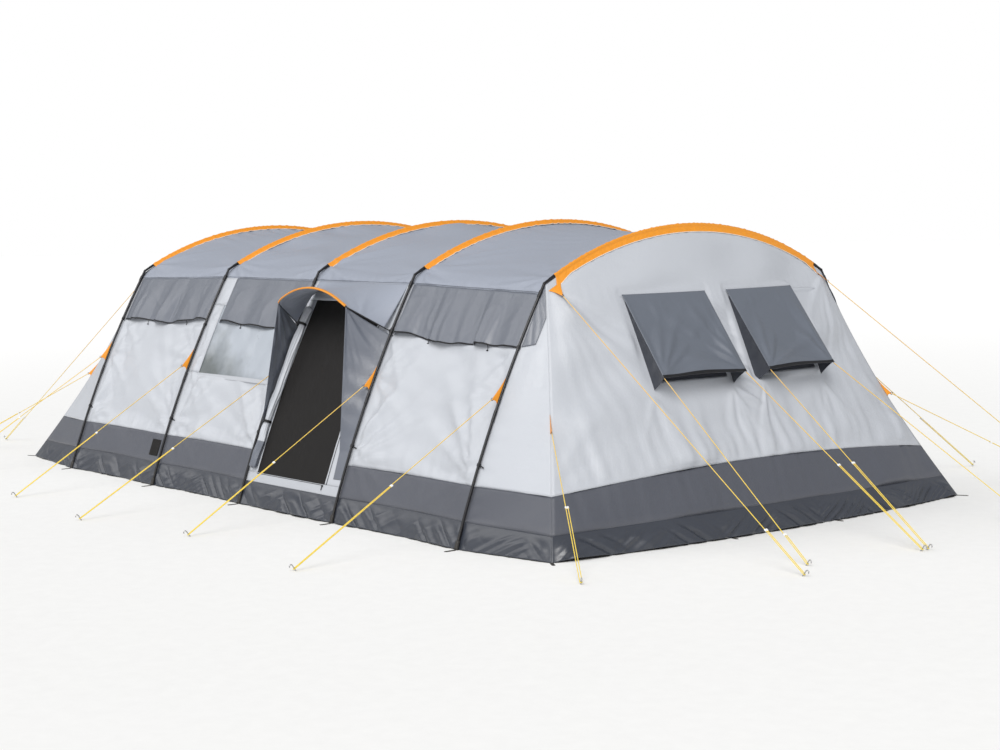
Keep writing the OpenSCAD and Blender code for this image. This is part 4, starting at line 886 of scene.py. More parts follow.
class TENT_OT_side_walls(bpy.types.Operator):
    """Walls between the legs, on the door side and the far side"""

    bl_idname = "tent.side_walls"
    bl_label = "Side walls"

    def execute(self, context):
        w0, w1, w2, w3 = SIDE_WINDOW
        d0, d1, d2, d3 = DOOR
        near = (
            ("near_wall_1", [bay_box(0, BAND, ROOF_TOP)]),
            ("near_wall_2", [bay_box(1, BAND, w2), (HOOPS[1], w0, w2, w3), (w1, HOOPS[2], w2, w3),
                             bay_box(1, w3, ROOF_TOP)]),
            ("door_wall", [(HOOPS[2], d0, d2, d3), (d1, HOOPS[3], d2, d3), bay_box(2, d3, ROOF_TOP)]),
            ("near_wall_4", [bay_box(3, BAND, ROOF_TOP)]),
        )
        for bay, (name, cuts) in enumerate(near):
            sheets = [wall_patch(bay, -1, cut, 500 + 60 * bay) for cut in cuts]
            wide = HOOPS[bay + 1] - HOOPS[bay]
            sew(name + "_cloth", sheets, "wall_cloth", (wide, 1.45), "leg_poles", node=name)
        sheets = [wall_patch(bay, 1, bay_box(bay, BAND, ROOF_TOP), 800 + 60 * bay) for bay in range(4)]
        sew("far_wall_cloth", sheets, "wall_cloth", (5.7, 1.45), "leg_poles", node="far_wall")
        return {"FINISHED"}


def end_rows(u, k):
    """Height of an end wall's row: 0 to 1 the band, to 2 the windows' foot, to 3 their head, to 4 the crown."""
    steps = [flap_top_line(u), band_top(u), END_WINDOW[2] + 0 * u, END_WINDOW[3] + 0 * u, end_top(u)]
    out = steps[0]
    for j in range(4):
        out = np.where(k > j, mix(steps[j], steps[j + 1], np.clip(k - j, 0, 1)), out)
    return out


def end_patch(e, c0, c1, k0, k1, nc, nk, seed=None, out=0.0):
    """One block of an end wall between columns c0 to c1 and rows k0 to k1; without a seed it has no folds."""
    c, k = grid(c0, c1, k0, k1, nc, nk)
    marks = [-1.0, -END_WINDOW[1], -END_WINDOW[0], END_WINDOW[0], END_WINDOW[1], 1.0]
    rims = (marks[0], marks[-1])
    lines = [y + 0 * k if y in rims else end_u(y + 0 * k, end_rows(y / FOOT + 0 * k, k)) for y in marks]
    j = np.clip(np.floor(c - 1e-9), 0, 4).astype(int)
    low, high = (np.take_along_axis(np.stack(lines), j[None] + step, 0)[0] for step in (0, 1))
    u = mix(low, high, c - j)
    base = end_wall(e, u, end_rows(u, k), out)
    d = 0 * u if seed is None else end_relief(base[..., 1], base[..., 2], seed, e)
    return patch(lift(base, d), base[..., 1], base[..., 2], flat=base)


def gore_patch(e, side, s, z, seed, mud=False):
    """A gore: folds fan from its shoulder, with gathers along its seams, or the mud flap's folds."""
    base = gore(e, side, s, z)
    x = np.abs(base[..., 0] - end_x(e))
    wide = np.maximum(np.abs(gore(e, side, 1 + 0 * s, z)[..., 0] - end_x(e)), 0.05)
    if mud:
        d = mud_relief(x, z, seed) * hem_hold(x, wide - x, reach=0.09)
    else:
        d = 0.004 * swell(x, z, 0.5, seed) + fan(x, z, (0.05, 1.62), -1.35, 0.25, 0.7, 0.008, 5, seed)
        d = d + pucker(z, x, 0.10, 0.06, 0.004, seed + 3) + pucker(z, wide - x, 0.10, 0.06, 0.004, seed + 4)
        d = fold_depth() * d * hem_hold(x, wide - x, reach=0.06) * hem_hold(z - FLAP_HEIGHT)
        d = d * mix(1, smooth(0.10, 0.16, x), smooth(1.26, 1.32, z))
    return patch(lift(base, d), base[..., 0], z, flat=base)


class TENT_OT_end_walls(bpy.types.Operator):
    """Sloping end walls and the gores beside them"""

    bl_idname = "tent.end_walls"
    bl_label = "End walls"

    def execute(self, context):
        blocks = [(0, 5, 1, 2, 180, 40), *((a, a + 1, 2, 3, 36, 34) for a in (0, 2, 4)), (0, 5, 3, 4, 180, 26)]
        sheets = [end_patch(1, *block, 2000) for block in blocks]
        sew("front_wall_cloth", sheets, "wall_cloth", (4.07, 1.9), "roof_poles", node="front_wall", weld=True)
        u = np.linspace(-0.985, 0.985, 200)
        seam = end_wall(1, u, FLAP_TOP + 0.008 - 0.06 * u * u, 0.0004)
        y = seam[:, 1]
        runs = [seam[y < -FLAP_OUT], seam[np.abs(y) < FLAP_IN], seam[y > FLAP_OUT]]
        piece("front_wall_seam", [tube(run, 0.0019, 6) for run in runs], "strip_cloth")
        sheets = [end_patch(-1, 0, 5, 1, 4, 150, 90, 2300)]
        sew("rear_wall_cloth", sheets, "wall_cloth", (4.07, 1.9), "roof_poles", node="rear_wall")
        cells = grid(0, 1, BAND, edge_z(end_x(1)), 36, 72)
        sheets = [gore_patch(e, side, *cells, 2500 + 10 * e + side) for e, side in ENDS]
        sew("corner_gore_cloth", sheets, "wall_cloth", (None, 1.3), "leg_poles", node="corner_gores")
        return {"FINISHED"}


class TENT_OT_ground_cloth(bpy.types.Operator):
    """Dark band, mud flap and groundsheet"""

    bl_idname = "tent.ground_cloth"
    bl_label = "Band, mud flap and groundsheet"

    def execute(self, context):
        self.sew_band()
        self.sew_mud_flap()
        self.lay_groundsheet()
        return {"FINISHED"}

    def sew_band(self):
        """The band: every wall's strip between the mud flap and the wall."""
        made = [wall_patch(bay, side, bay_box(bay, FLAP_HEIGHT, BAND), 3000 + bay + 5 * side, (90, 14))
                for bay, side in BAYS if (bay, side) != DOOR_BAY]
        cells = grid(0, 1, FLAP_HEIGHT, BAND, 36, 14)
        made += [gore_patch(e, side, *cells, 3050 + e * 3 + side) for e, side in ENDS]
        made += [end_patch(e, 0, 5, 0, 1, 180, 14, 3100 + e) for e in (1, -1)]
        sew("band_cloth", made, "band_cloth", (None, 0.24), "mud_flap_film", node="ground_band")

    def sew_mud_flap(self):
        """The mud flap: a loose glossy film from the band down to the ground."""
        made = []
        for bay, side in BAYS:
            x, z = grid(*bay_box(bay, FILM_Z, FLAP_HEIGHT), 150, 22)
            ends = hem_hold(x - HOOPS[bay], HOOPS[bay + 1] - x, reach=0.05)
            wild = 1.7 if (bay, side) == DOOR_BAY else 1.15
            base = side_wall(bay, x, z, side)
            d = mud_relief(x, z, 3300 + 7 * bay + side, wild) * mix(0.25, 1.0, ends)
            made.append(patch(lift(base, d), x, z, flat=base))
        cells = grid(0, 1, FILM_Z, FLAP_HEIGHT, 80, 22)
        made += [gore_patch(e, side, *cells, 3400 + 3 * e + side, mud=True) for e, side in ENDS]
        u, z = grid(-1, 1, FILM_Z, FLAP_HEIGHT, 360, 22)
        for e in (1, -1):
            base = end_wall(e, u, z * flap_top_line(u) / FLAP_HEIGHT)
            d = mud_relief(base[..., 1], z, 3500 + e, 1.6) * hem_hold(1 - np.abs(u), reach=0.05)
            made.append(patch(lift(base, d), base[..., 1], z, flat=base))
        sew("mud_flap_film", made, "mud_flap_film", (None, 0.19), "band_cloth", "hung", node="mud_flap")

    def lay_groundsheet(self):
        """The groundsheet: a slack film inside the hem, turned up all round as a tray."""
        a, b = grid(-1, 1, -1, 1, 150, 90)
        reach = 3.775 + 0.12 * (1 - b**2)
        half = np.interp(np.abs(a) * 3.78, [0, 2.71, 3.78], [2.14, 2.14, 1.99])
        x, y = a * reach * 0.985, b * half
        rim = np.minimum(reach * (1 - np.abs(a)), half * (1 - np.abs(b)))
        points = stack(x, y, 0.0035 + 0.0025 * (1 + swell(x, y, 0.6, 3600)) * smooth(0, 0.2, rim))
        loop = np.concatenate([points[0, :-1], points[:-1, -1], points[-1, :0:-1], points[:0:-1, 0]])
        inward = unit(-loop * [1, 1, 0]) * 0.066
        tray = 0.076
        rise = np.linspace(0, 1, 7)[:, None, None]
        wall = loop + inward * (1 + 0.04 * np.sin(rise * 9)) + rise * [0, 0, tray]
        sheets = [patch(points, x, y, facing=(0, 0, 1)),
                  patch(wall, lengths(loop)[None], tray * rise[..., 0], wrap=True, facing=wall * [1, 1, 0])]
        sew("groundsheet_film", sheets, "floor_film", (7.6, 4.3), "floor", "laid", node="groundsheet",
            slot="groundsheet", thick=0.002)


class TENT_OT_low_vent(bpy.types.Operator):
    """Small mesh vent low in the band"""

    bl_idname = "tent.low_vent"
    bl_label = "Low vent"

    def execute(self, context):
        x0, x1, z0, z1 = LOW_VENT
        x, z = grid(*LOW_VENT, 40, 34)
        rim = np.minimum(np.minimum(x - x0, x1 - x), np.minimum(z - z0, z1 - z))
        out = 0.0022 + 0.0028 * smooth(0, 0.006, rim) * (1 - 0.5 * smooth(0.014, 0.018, rim))
        sheet = patch(lift(side_wall(0, x, z, -1), out), x, z)
        sew("low_vent_cloth", [sheet], "mesh", (0.16, 0.14), "band_cloth", area=False, node="low_vent", thick=0.001)
        return {"FINISHED"}


# ---------------------------------------------------------------- windows and their flaps
class TENT_OT_windows(bpy.types.Operator):
    """Clear film side window with its sewn borders, and front window panes in a near-black cloth that is painted shade
    """

    bl_idname = "tent.windows"
    bl_label = "Windows"

    def execute(self, context):
        x0, x1, z0, z1 = SIDE_WINDOW
        lap, sunk = 0.01, -0.0035
        x, z = grid(x0 - lap, x1 + lap, z0 - lap, z1 + lap, 80, 44)
        d = 0.0025 * swell(x, z, 0.28, 4000) * hem_hold(x - x0, x1 - x, z - z0)
        sheet = patch(lift(side_wall(1, x, z, -1, sunk), d), x, z)
        sew("side_window_film", [sheet], "clear_film", (1.12, 0.62), "near_wall_2_cloth", area=False,
            node="side_window_pane", thick=0)
        # painted shade: the front panes are a near-black cloth standing for the shade under the window flaps
        made = [end_patch(1, c, c + 1, 2, 3, 40, 36, out=sunk) for c in (1, 3)]
        sew("front_window_film", made, "dark_cover", (1.3, None), "front_wall_cloth", node="front_window_panes",
            slot="clear_film", thick=0)
        self.sew_borders(x0, x1, z0, z1)
        return {"FINISHED"}

    def sew_borders(self, x0, x1, z0, z1):
        """A narrow tape round the side window: four strips a millimetre outside the wall."""
        w, cell = 0.022, 0.02
        sheets = []
        for a, b, c, d in ((x0 - w, x1 + w, z0 - 1.6 * w, z0), (x0 - w, x1 + w, z1, z1 + w),
                           (x0 - w, x0, z0, z1), (x1, x1 + w, z0, z1)):
            x, z = grid(a, b, c, d, max(4, int((b - a) / cell)), max(4, int((d - c) / cell)))
            sheets.append(patch(side_wall(1, x, z, -1, 0.0015), x, z))
        sew("side_window_tape", sheets, "strip_cloth", (3.4, w), "near_wall_2_cloth", thick=0.001)


def flap_frame(s):
    """Hinge line and downward direction of a window flap, s -1 on the door side."""

    def hinge(y):
        return front_at(s * y, FLAP_TOP) + FLAP_LIFT

    axis = unit(hinge(FLAP_OUT) - hinge(FLAP_IN)) * s
    d = unit(front_at(s * FLAP_MID, END_WINDOW[2]) + FLAP_LIFT - hinge(FLAP_MID))
    a = -FLAP_ANGLE
    return hinge, axis, d * np.cos(a) + np.cross(axis, d) * np.sin(a) + axis * (axis @ d) * (1 - np.cos(a))


class TENT_OT_window_flaps(bpy.types.Operator):
    """Two flaps held out over the front windows, with their gussets"""

    bl_idname = "tent.window_flaps"
    bl_label = "Window flaps"

    def execute(self, context):
        for s, side in ((-1, "near"), (1, "far")):
            self.sew_flap(s, side)
            self.sew_gussets(s, side)
        return {"FINISHED"}

    def sew_flap(self, s, side):
        """A flap: a plane from the hinge line, sagging between its corners, with a turned hem on three sides."""
        hinge, axis, down = flap_frame(s)
        out = np.cross(down, axis)
        wide = FLAP_OUT - FLAP_IN
        c, h = grid(0, 1, 0, 1, 64, 60)
        x, y = c * wide, h * FLAP_LEN
        edge, foot = np.minimum(c, 1 - c) * wide, (1 - h) * FLAP_LEN
        left, right = hinge(FLAP_IN), hinge(FLAP_OUT)
        chord = mix(left, right, c[..., None])
        bow = front_at(s * mix(FLAP_IN, FLAP_OUT, c), FLAP_TOP) + FLAP_LIFT - chord
        base = chord + y[..., None] * down + (1 - h)[..., None] * bow
        d = -0.014 * 4 * c * (1 - c) * np.sin(np.pi * h) + 0.010 * swell(x, y, 0.38, 4300 + s)
        for corner, aim, seed in ((0, -np.pi / 4, 4310), (wide, -3 * np.pi / 4, 4317)):
            d = d + fan(x, y, (corner, FLAP_LEN), aim, 0.7, 0.60, 0.020, 6, seed + s)
        d = fold_depth() * (d + pucker(x, y, 0.10, 0.08, 0.005, 4320))
        d = np.maximum(d * hem_hold(edge, foot, reach=0.08) * smooth(0, 0.22, y), -0.03 * y)
        hem = 0.0022 * (smooth(0.020, 0.014, edge) + smooth(0.024, 0.016, foot)).clip(0, 1)
        lower = -0.012 * np.sin(np.pi * c) ** 2 * smooth(0.6, 1, h)
        points = base + (0.004 + d + hem)[..., None] * out + lower[..., None] * down
        body = f"window_flap_{side}"
        sew(f"window_flap_cloth_{side}", [patch(points, x, y, facing=out)], "flap_cloth", (wide, FLAP_LEN),
            "front_wall_cloth", "hung", area=False, body=body, node=body, thick=0.0015)
        strip = patch(points[-3:] + 0.0012 * out, x[-3:], y[-3:], facing=out)
        piece(f"window_flap_hem_{side}", [strip], "webbing", body=body, thick=TAPE)
        batten = mix(left, right, np.linspace(0.02, 0.98, 40)[:, None]) + down * (FLAP_LEN - 0.012) + out * 0.002
        piece(f"window_flap_cord_{side}", [tube(batten, 0.0028, 8)], "webbing", body=body)

    def sew_gussets(self, s, side):
        """Gussets: ruled three-cornered cloth from the wall to the flap, drawn in between them, coloured near-black as
        painted shade.
        """
        hinge, _, down = flap_frame(s)
        w, h = grid(0, 1, 0.03, 1, 16, 48)
        sheets = []
        for y, inward in ((FLAP_IN + 0.008, s), (FLAP_OUT - 0.008, -s)):
            wall = front_at(s * y, FLAP_TOP - mix(0.03, FLAP_LEN * 0.92, h)) + [0.001, 0, 0]
            flap = hinge(y) + down * mix(0.03, FLAP_LEN - 0.006, h)[..., None] - [0.001, 0, 0]
            points = mix(wall, flap, w[..., None])
            slack = 0.010 * h + 0.004 * wave(h * FLAP_LEN, 0.12, 4400 + s)
            points[..., 1] += inward * slack * np.sin(np.pi * w)
            sheets.append(patch(points, w * 0.15, h * FLAP_LEN, facing=(0, -inward, 0)))
        # painted shade: the gussets take the near-black cloth in place of the flap's own cloth
        obj = sew(f"flap_gusset_cloth_{side}", sheets, "dark_cover", (0.16, FLAP_LEN), f"window_flap_cloth_{side}",
                  "hung", body=None, node=f"flap_gussets_{side}", slot="flap_cloth", thick=0)
        start = front_at(s * FLAP_MID, FLAP_TOP - 0.55) + FLAP_LIFT
        tuple(hinge(FLAP_MID) + down * 0.6)
        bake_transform(obj)


# ---------------------------------------------------------------- valances
class TENT_OT_valances(bpy.types.Operator):
    """Loose valances that hang from the roof's edge"""

    bl_idname = "tent.valances"
    bl_label = "Valances"

    def execute(self, context):
        for bay, first in ((0, VALANCE_IN), (1, VENT_SIDE_IN), (3, VALANCE_IN)):
            x0, x1 = HOOPS[bay] + first, HOOPS[bay + 1] - VALANCE_IN
            name = f"valance_{bay + 1}"
            spans = [(bay, -1, x0, x1, 4500 + bay)]
            self.sew_valance(name, spans, x1 - x0, f"roof_cloth_{bay + 1}", name, name)
            self.toggle(bay, x0, x1, name)
            self.ties(bay, x0, x1, name)
        spans = [(bay, 1, HOOPS[bay] + VALANCE_IN, HOOPS[bay + 1] - VALANCE_IN, 4550 + bay) for bay in range(4)]
        self.sew_valance("far_valance", spans, 5.5, "roof_cloth_1", "tent", "far_valances")
        self.sew_corners()
        return {"FINISHED"}

    def sew_valance(self, name, spans, wide, rest, body, node):
        """A valance and the dark hem along its free edge."""
        sew(name + "_cloth", [self.hang(*span) for span in spans], "valance_cloth", (wide, VALANCE_DROP), rest, "hung",
            area=False, body=body, node=node)
        piece(name + "_hem", [self.hang(*span, 0.972, 1.0, 0.0013) for span in spans], "webbing", body=body, thick=TAPE)

    def sew_corners(self):
        """The valances' ends, carried round the end hoops' legs on the gores to a straight lower edge."""
        sheets = []
        s, z = grid(0.10, 1.0, 1.315, edge_z(end_x(1)) - 0.004, 16, 40)
        for e, side in ENDS:
            wide = 0.085 / np.maximum(np.abs(gore(e, side, 1 + 0 * z, z)[..., 0] - end_x(e)), 0.04)
            d = 0.005 + 0.006 * np.abs(wave(s * 0.1 + 0.3 * z, 0.09, 4600 + side)) * smooth(1.7, 1.4, z)
            sheets.append(patch(lift(gore(e, side, s * np.minimum(wide, 0.97), z), d), s * 0.1, z))
        sew("corner_valance_cloth", sheets, "valance_cloth", (0.34, 0.36), "corner_gore_cloth", thick=0.001)

    def hang(self, bay, side, x0, x1, seed, h0=0.0, h1=1.0, extra=0.0):
        """A valance: the wall's surface moved out, with hanging folds that grow towards its free edge."""
        x, h = grid(x0, x1, h0, h1, int((x1 - x0) / 0.012), max(2, int(34 * (h1 - h0))))
        z = edge_z(x) - 0.002 - h * VALANCE_DROP
        free = smooth(-0.1, 0.9, h)
        slant = x + 0.05 * np.sin(3 * x + seed) * h
        fold = 0.5 + 0.5 * np.sin(1.7 * wave(slant, 0.40, seed, 3)) + 0.12 * wave(slant, 0.17, seed + 7, 4)
        folds = 0.046 * mix(0.12, 1.0, free) * np.maximum(fold, 0)
        ridges = 0.004 * smooth(0, 0.3, h) * ridged(swell(x, z, 0.3, seed + 1), 1.6)
        out = 0.0025 + fold_depth() * (folds + ridges)
        out = out * hem_hold(x - x0 + 0.012, x1 - x + 0.012, reach=0.07) + 0.0015
        out = out + fold_depth() * np.abs(pucker(x, h * VALANCE_DROP, 0.11, 0.05, 0.003, seed + 2)) + extra
        sway = 0.008 * wave(x, 0.7, seed + 3) + 0.012 * np.cos(2 * np.pi * (x - x0) / (x1 - x0)) - 0.008
        return patch(lift(side_wall(bay, x, z + sway * free, side), out), x, h * VALANCE_DROP)

    def ties(self, bay, x0, x1, body):
        """A short flat tie from each lower corner of a valance to the leg beside it."""
        parts = []
        for x, k in ((x0, bay), (x1, bay + 1)):
            if abs(x - HOOPS[k]) > 0.1:
                continue
            z = edge_z(x) - VALANCE_DROP - 0.004
            a, b = side_wall(bay, x, z, -1, 0.006), leg_point(k, -1, z + 0.012) - [0, 0.006, 0]
            t = np.linspace(0, 1, 10)[:, None]
            parts.append(tube(mix(a, b, t) - np.sin(np.pi * t) * [0, 0.004, 0.004], 0.0032, 8))
        piece(f"{body}_ties", parts, "webbing", body=body)

    def toggle(self, bay, x0, x1, body):
        """Two short black cords with a barrel at the valance's free edge."""
        parts = []
        round_ends = np.sqrt(np.clip(1 - np.linspace(-1, 1, 12) ** 4, 0.05, 1))
        for x in (mix(x0, x1, 0.30), mix(x0, x1, 0.78)):
            top = side_wall(bay, x, edge_z(x) - VALANCE_DROP - 0.004, -1, 0.014)
            t = np.linspace(0, 1, 16)[:, None]
            cord = top + t * [0, -0.004, -0.035] + np.sin(np.pi * t) * [0.004, 0, 0]
            barrel = cord[-1] + np.linspace(-0.011, 0.011, 12)[:, None] * [1, 0, 0]
            parts += [tube(cord, 0.0022, 8), tube(barrel, 0.0045 * round_ends, 10, spin=(0, 0, 1))]
        piece(f"{body}_toggles", parts, "webbing", body=body)


# ---------------------------------------------------------------- porch and door
def brow(t):
    """The brow pole's line: an arm from each leg's socket and an arc between them, rounded at the corners."""

    def foot(s):
        k = 2 if s < 0 else 3
        return leg_point(k, -1, BROW_SOCKET_Z) - [s * 0.03, 0, 0]

    def raw(t):
        t = np.asarray(t)[..., None]
        c0, c1 = (np.array([BROW_MID + s * BROW_HALF, -BROW_OUT, BROW_Z]) for s in (-1, 1))
        r = (BROW_HALF**2 + BROW_RISE**2) / (2 * BROW_RISE)
        a = mix(-1, 1, np.clip((t - 0.25) / 0.5, 0, 1)) * np.arcsin(BROW_HALF / r)
        arc = np.concatenate([BROW_MID + r * np.sin(a), -BROW_OUT + 0 * a, BROW_Z + BROW_RISE - r + r * np.cos(a)], -1)
        left = mix(foot(-1), c0, np.clip(t, 0, 0.25) / 0.25)
        right = mix(c1, foot(1), (np.clip(t, 0.75, 1) - 0.75) / 0.25)
        return np.where(t < 0.25, left, np.where(t > 0.75, right, arc))

    w = np.minimum(0.03, np.minimum(t, 1 - t))
    return (raw(t - w) + 2 * raw(t) + raw(t + w)) / 4


def wall_face(z):
    return -leg(z, SHOULDER_Z[2], WALL_GAP)[0]


class TENT_OT_porch(bpy.types.Operator):
    """Hood over the doorway: canopy, cheeks and the orange edge of the brow"""

    bl_idname = "tent.porch"
    bl_label = "Porch"

    def execute(self, context):
        self.sew_canopy()
        for s, side in ((-1, "left"), (1, "right")):
            self.sew_cheek(s, side)
        self.sew_brow_sleeve()
        repaint("pole_black", "brow_pole")
        repaint("black_plastic", "brow_sockets")
        return {"FINISHED"}

    def sew_canopy(self):
        """Canopy: straight lines from the roof's edge to the brow, sagging between them."""
        t, s = grid(0.03, 0.97, 0, 1, 110, 40)
        x = mix(HOOPS[2] + 0.014, HOOPS[3] - 0.014, t)
        z = edge_z(x) - 0.0013
        back = stack(x, -leg(z, shoulder_z(x), WALL_GAP)[0] - 0.0015, z)
        points = mix(back, brow(t) + [0, 0.003, -0.0035], s[..., None])
        deep = 0.45
        run = s * deep
        d = 0.004 * wave(x, 0.22, 4700) * np.sin(np.pi * s)
        for root, aim, seed in ((0.4, -np.pi / 2 + 0.5, 4701), (1.28, -np.pi / 2 - 0.5, 4702)):
            d = d + fan(x, run, (root, deep), aim, 0.7, 0.4, 0.007, 5, seed)
        points[..., 2] += fold_depth() * d * hem_hold(run, deep - run) - 0.022 * np.sin(np.pi * s) * np.sin(np.pi * t)
        sheets = [patch(points, x, run, facing=(0, -0.3, 1))]
        sew("porch_canopy_cloth", sheets, "roof_cloth", (1.2, 0.4), "brow_pole", node="porch_canopy")

    def sew_cheek(self, s, side):
        """Cheek: straight lines from its front edge to its back edge on the wall, drawn in between them."""
        h, v = grid(0, 1, 0, 1, 40, 110)
        foot_x = ROLL_X - ROLL_D / 2 - 0.027 if s < 0 else BROW_MID + BROW_HALF + 0.045
        top = np.array([BROW_MID + s * (BROW_HALF + 0.003), -BROW_OUT + 0.008, BROW_Z - 0.008])
        turn = np.array([foot_x, wall_face(0.495) - 0.012, 0.495])
        low = np.array([foot_x + s * 0.008, wall_face(0.30) - 0.004, 0.30])
        v3 = v[..., None]
        front = np.where(v3 < 0.8, mix(top, turn, v3 / 0.8), mix(turn, low, (v3 - 0.8) / 0.2))
        z = mix(BROW_SOCKET_Z - 0.03, 0.30, v)
        back = stack((HOOPS[2] if s < 0 else HOOPS[3]) - s * 0.02, wall_face(z) - 0.001, z)
        points = mix(front, back, h[..., None])
        wide = np.linalg.norm(front - back, axis=-1)
        x, y = h * wide, v * 1.25
        folds = fan(x, y, (0, 0), 0.9, 0.6, 0.6, 0.009, 6, 4800 + s) + 0.004 * wave(y, 0.22, 4801)
        d = 0.018 * np.sin(np.pi * h) * (1 - v) + fold_depth() * folds * hem_hold(x, wide * (1 - h))
        points[..., 0] -= s * d
        sew(f"porch_cheek_cloth_{side}", [patch(points, x, y, facing=(s, 0, 0))], "valance_cloth", (0.3, 1.28),
            "brow_pole", node=f"porch_cheek_{side}")

    def sew_brow_sleeve(self):
        """Orange edge: a half tube of cloth round the front of the bow, gathered along its length."""
        t, a = grid(0.245, 0.755, np.radians(-75), np.radians(95), 150, 18)
        run = t * 1.4
        r = 0.0075 + 0.0008 * wave(run, 0.03, 4900) * np.cos(a / 1.4)
        points = brow(t) + stack(0 * t, -r * np.cos(a), r * np.sin(a))
        points[..., 1] += 0.012 * smooth(np.radians(60), np.radians(95), a)
        sheets = [patch(points, run, a * r, facing=stack(0, -np.cos(a), np.sin(a)))]
        sew("brow_sleeve_cloth", sheets, "orange_cloth", (0.95, 0.024), "brow_pole", node="brow_sleeve", thick=0.001)


class TENT_OT_door(bpy.types.Operator):
    """Mesh door with its zip, edge tape and sill"""

    bl_idname = "tent.door"
    bl_label = "Door"

    def execute(self, context):
        self.sew_mesh(*DOOR)
        self.sew_sill(DOOR[2])
        self.sew_zip(*DOOR)
        repaint("black_plastic", "door_zip_slider")
        return {"FINISHED"}

    def sew_mesh(self, x0, x1, z0, z1):
        """Mesh: the doorway's surface with slack vertical folds; its edge tape follows the free side."""
        x, z = grid(x0, x1 - 0.019, z0, z1, 70, 90)
        base = side_wall(2, x, z, -1, -0.0022)
        d = 0.0016 * wave(x, 0.21, 5000) * smooth(0, 0.1, z - z0) + 0.0012 * swell(x, z, 0.3, 5001)
        obj = sew("mesh_door_cloth", [patch(lift(base, d), x, z)], "mesh", (x1 - x0, 1.46), "door_wall_cloth",
                  area=False, node="mesh_door", thick=0)
        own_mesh(obj)
        x, z = grid(x1 - 0.018, x1 - 0.001, z0 + 0.002, z1 - 0.002, 6, 60)
        tape = patch(lift(side_wall(2, x, z, -1, -0.0008), 0.0006 * wave(z, 0.2, 5010)), x, z)
        sew("door_edge_cloth", [tape], "strip_cloth", (0.017, 1.45), "mesh_door_cloth", area=False, body="door_edge",
            node="door_edge_tape", thick=0.002)

    def sew_sill(self, z0):
        """Sill: a pale strip between the mud flap and the doorway."""
        x, z = grid(*bay_box(2, FLAP_HEIGHT, z0), 80, 10)
        d = 0.002 * wave(x, 0.2, 5020) * hem_hold(z - FLAP_HEIGHT, z0 - z, x - HOOPS[2], HOOPS[3] - x)
        sew("door_sill_cloth", [patch(lift(side_wall(2, x, z, -1), d), x, z)], "strip_cloth", (1.3, 0.078),
            "mud_flap_film", area=False, node="door_sill_strip")

    def sew_zip(self, x0, x1, z0, z1):
        """Zip: a black coil on a narrow tape round the foot and the free side of the doorway."""
        foot = side_wall(2, np.linspace(x0, x1 - 0.03, 60), np.full(60, z0 - 0.006), -1, 0.0012)
        free = side_wall(2, np.full(90, x1 + 0.006), np.linspace(z0, z1, 90), -1, 0.0012)
        piece("door_zip_coil", [tube(foot, 0.0022, 8), tube(free, 0.0022, 8)], "black_plastic")


class TENT_OT_rolled_door(bpy.types.Operator):
    """Outer door rolled up and tied beside the doorway"""

    bl_idname = "tent.rolled_door"
    bl_label = "Rolled door"

    def execute(self, context):
        piece("rolled_door_cloth", [self.roll(0.470, 1.496, 130)], "wall_cloth", node="rolled_door")
        piece("rolled_door_foot", [self.roll(0.274, 0.475, 36, 0.0008)], "valance_cloth")
        repaint("webbing", "door_ties")
        return {"FINISHED"}

    def roll(self, low, high, rows, extra=0.0):
        """A stretch of the roll: a lumpy flattened round, narrow where it is tied, wandering to the leg at its foot."""
        a, z = (part[:, :-1] for part in grid(0, 2 * np.pi, low, high, 84, rows))
        y, cos_a, sin_a = leg(z, SHOULDER_Z[2], WALL_GAP)
        tied = sum(np.exp(-(((z - tie) / 0.055) ** 2)) for tie in DOOR_TIES)
        lumps = 0.09 * np.cos(3 * a + 5 * z) + 0.06 * np.cos(7 * a - 9 * z) + 0.07 * wave(z + 0.02 * a, 0.13, 5100)
        lumps = 1 + fold_depth() * lumps
        ends = np.sqrt(np.clip(1 - np.clip((np.abs(z - 0.885) - 0.590) / 0.021, 0, 1) ** 2, 0.03, 1))
        wide = (0.0355 - 0.0135 * tied + 0.003 * wave(z, 0.40, 5101) * (1 - tied)) * lumps * ends + extra
        deep = (0.0240 - 0.0030 * tied) * lumps * ends + extra
        bulk = (np.abs(np.cos(a)) ** 2.4 + np.abs(np.sin(a)) ** 2.4) ** (-1 / 2.4)
        lean = ROLL_X - 0.022 * smooth(0.52, 0.28, z)
        across = wide * bulk * np.sin(a) + 0.004 * wave(z, 0.7, 5103) * (1 - tied)
        out = 0.0300 + np.maximum(deep * bulk * np.cos(a), -0.0275)
        points = stack(lean + across, -(y + out * cos_a), z + out * sin_a)
        axis = stack(lean, -(y + 0.030 * cos_a), z + 0.030 * sin_a)
        return patch(points, a * 0.03, z, wrap=True, caps=True, facing=points - axis)


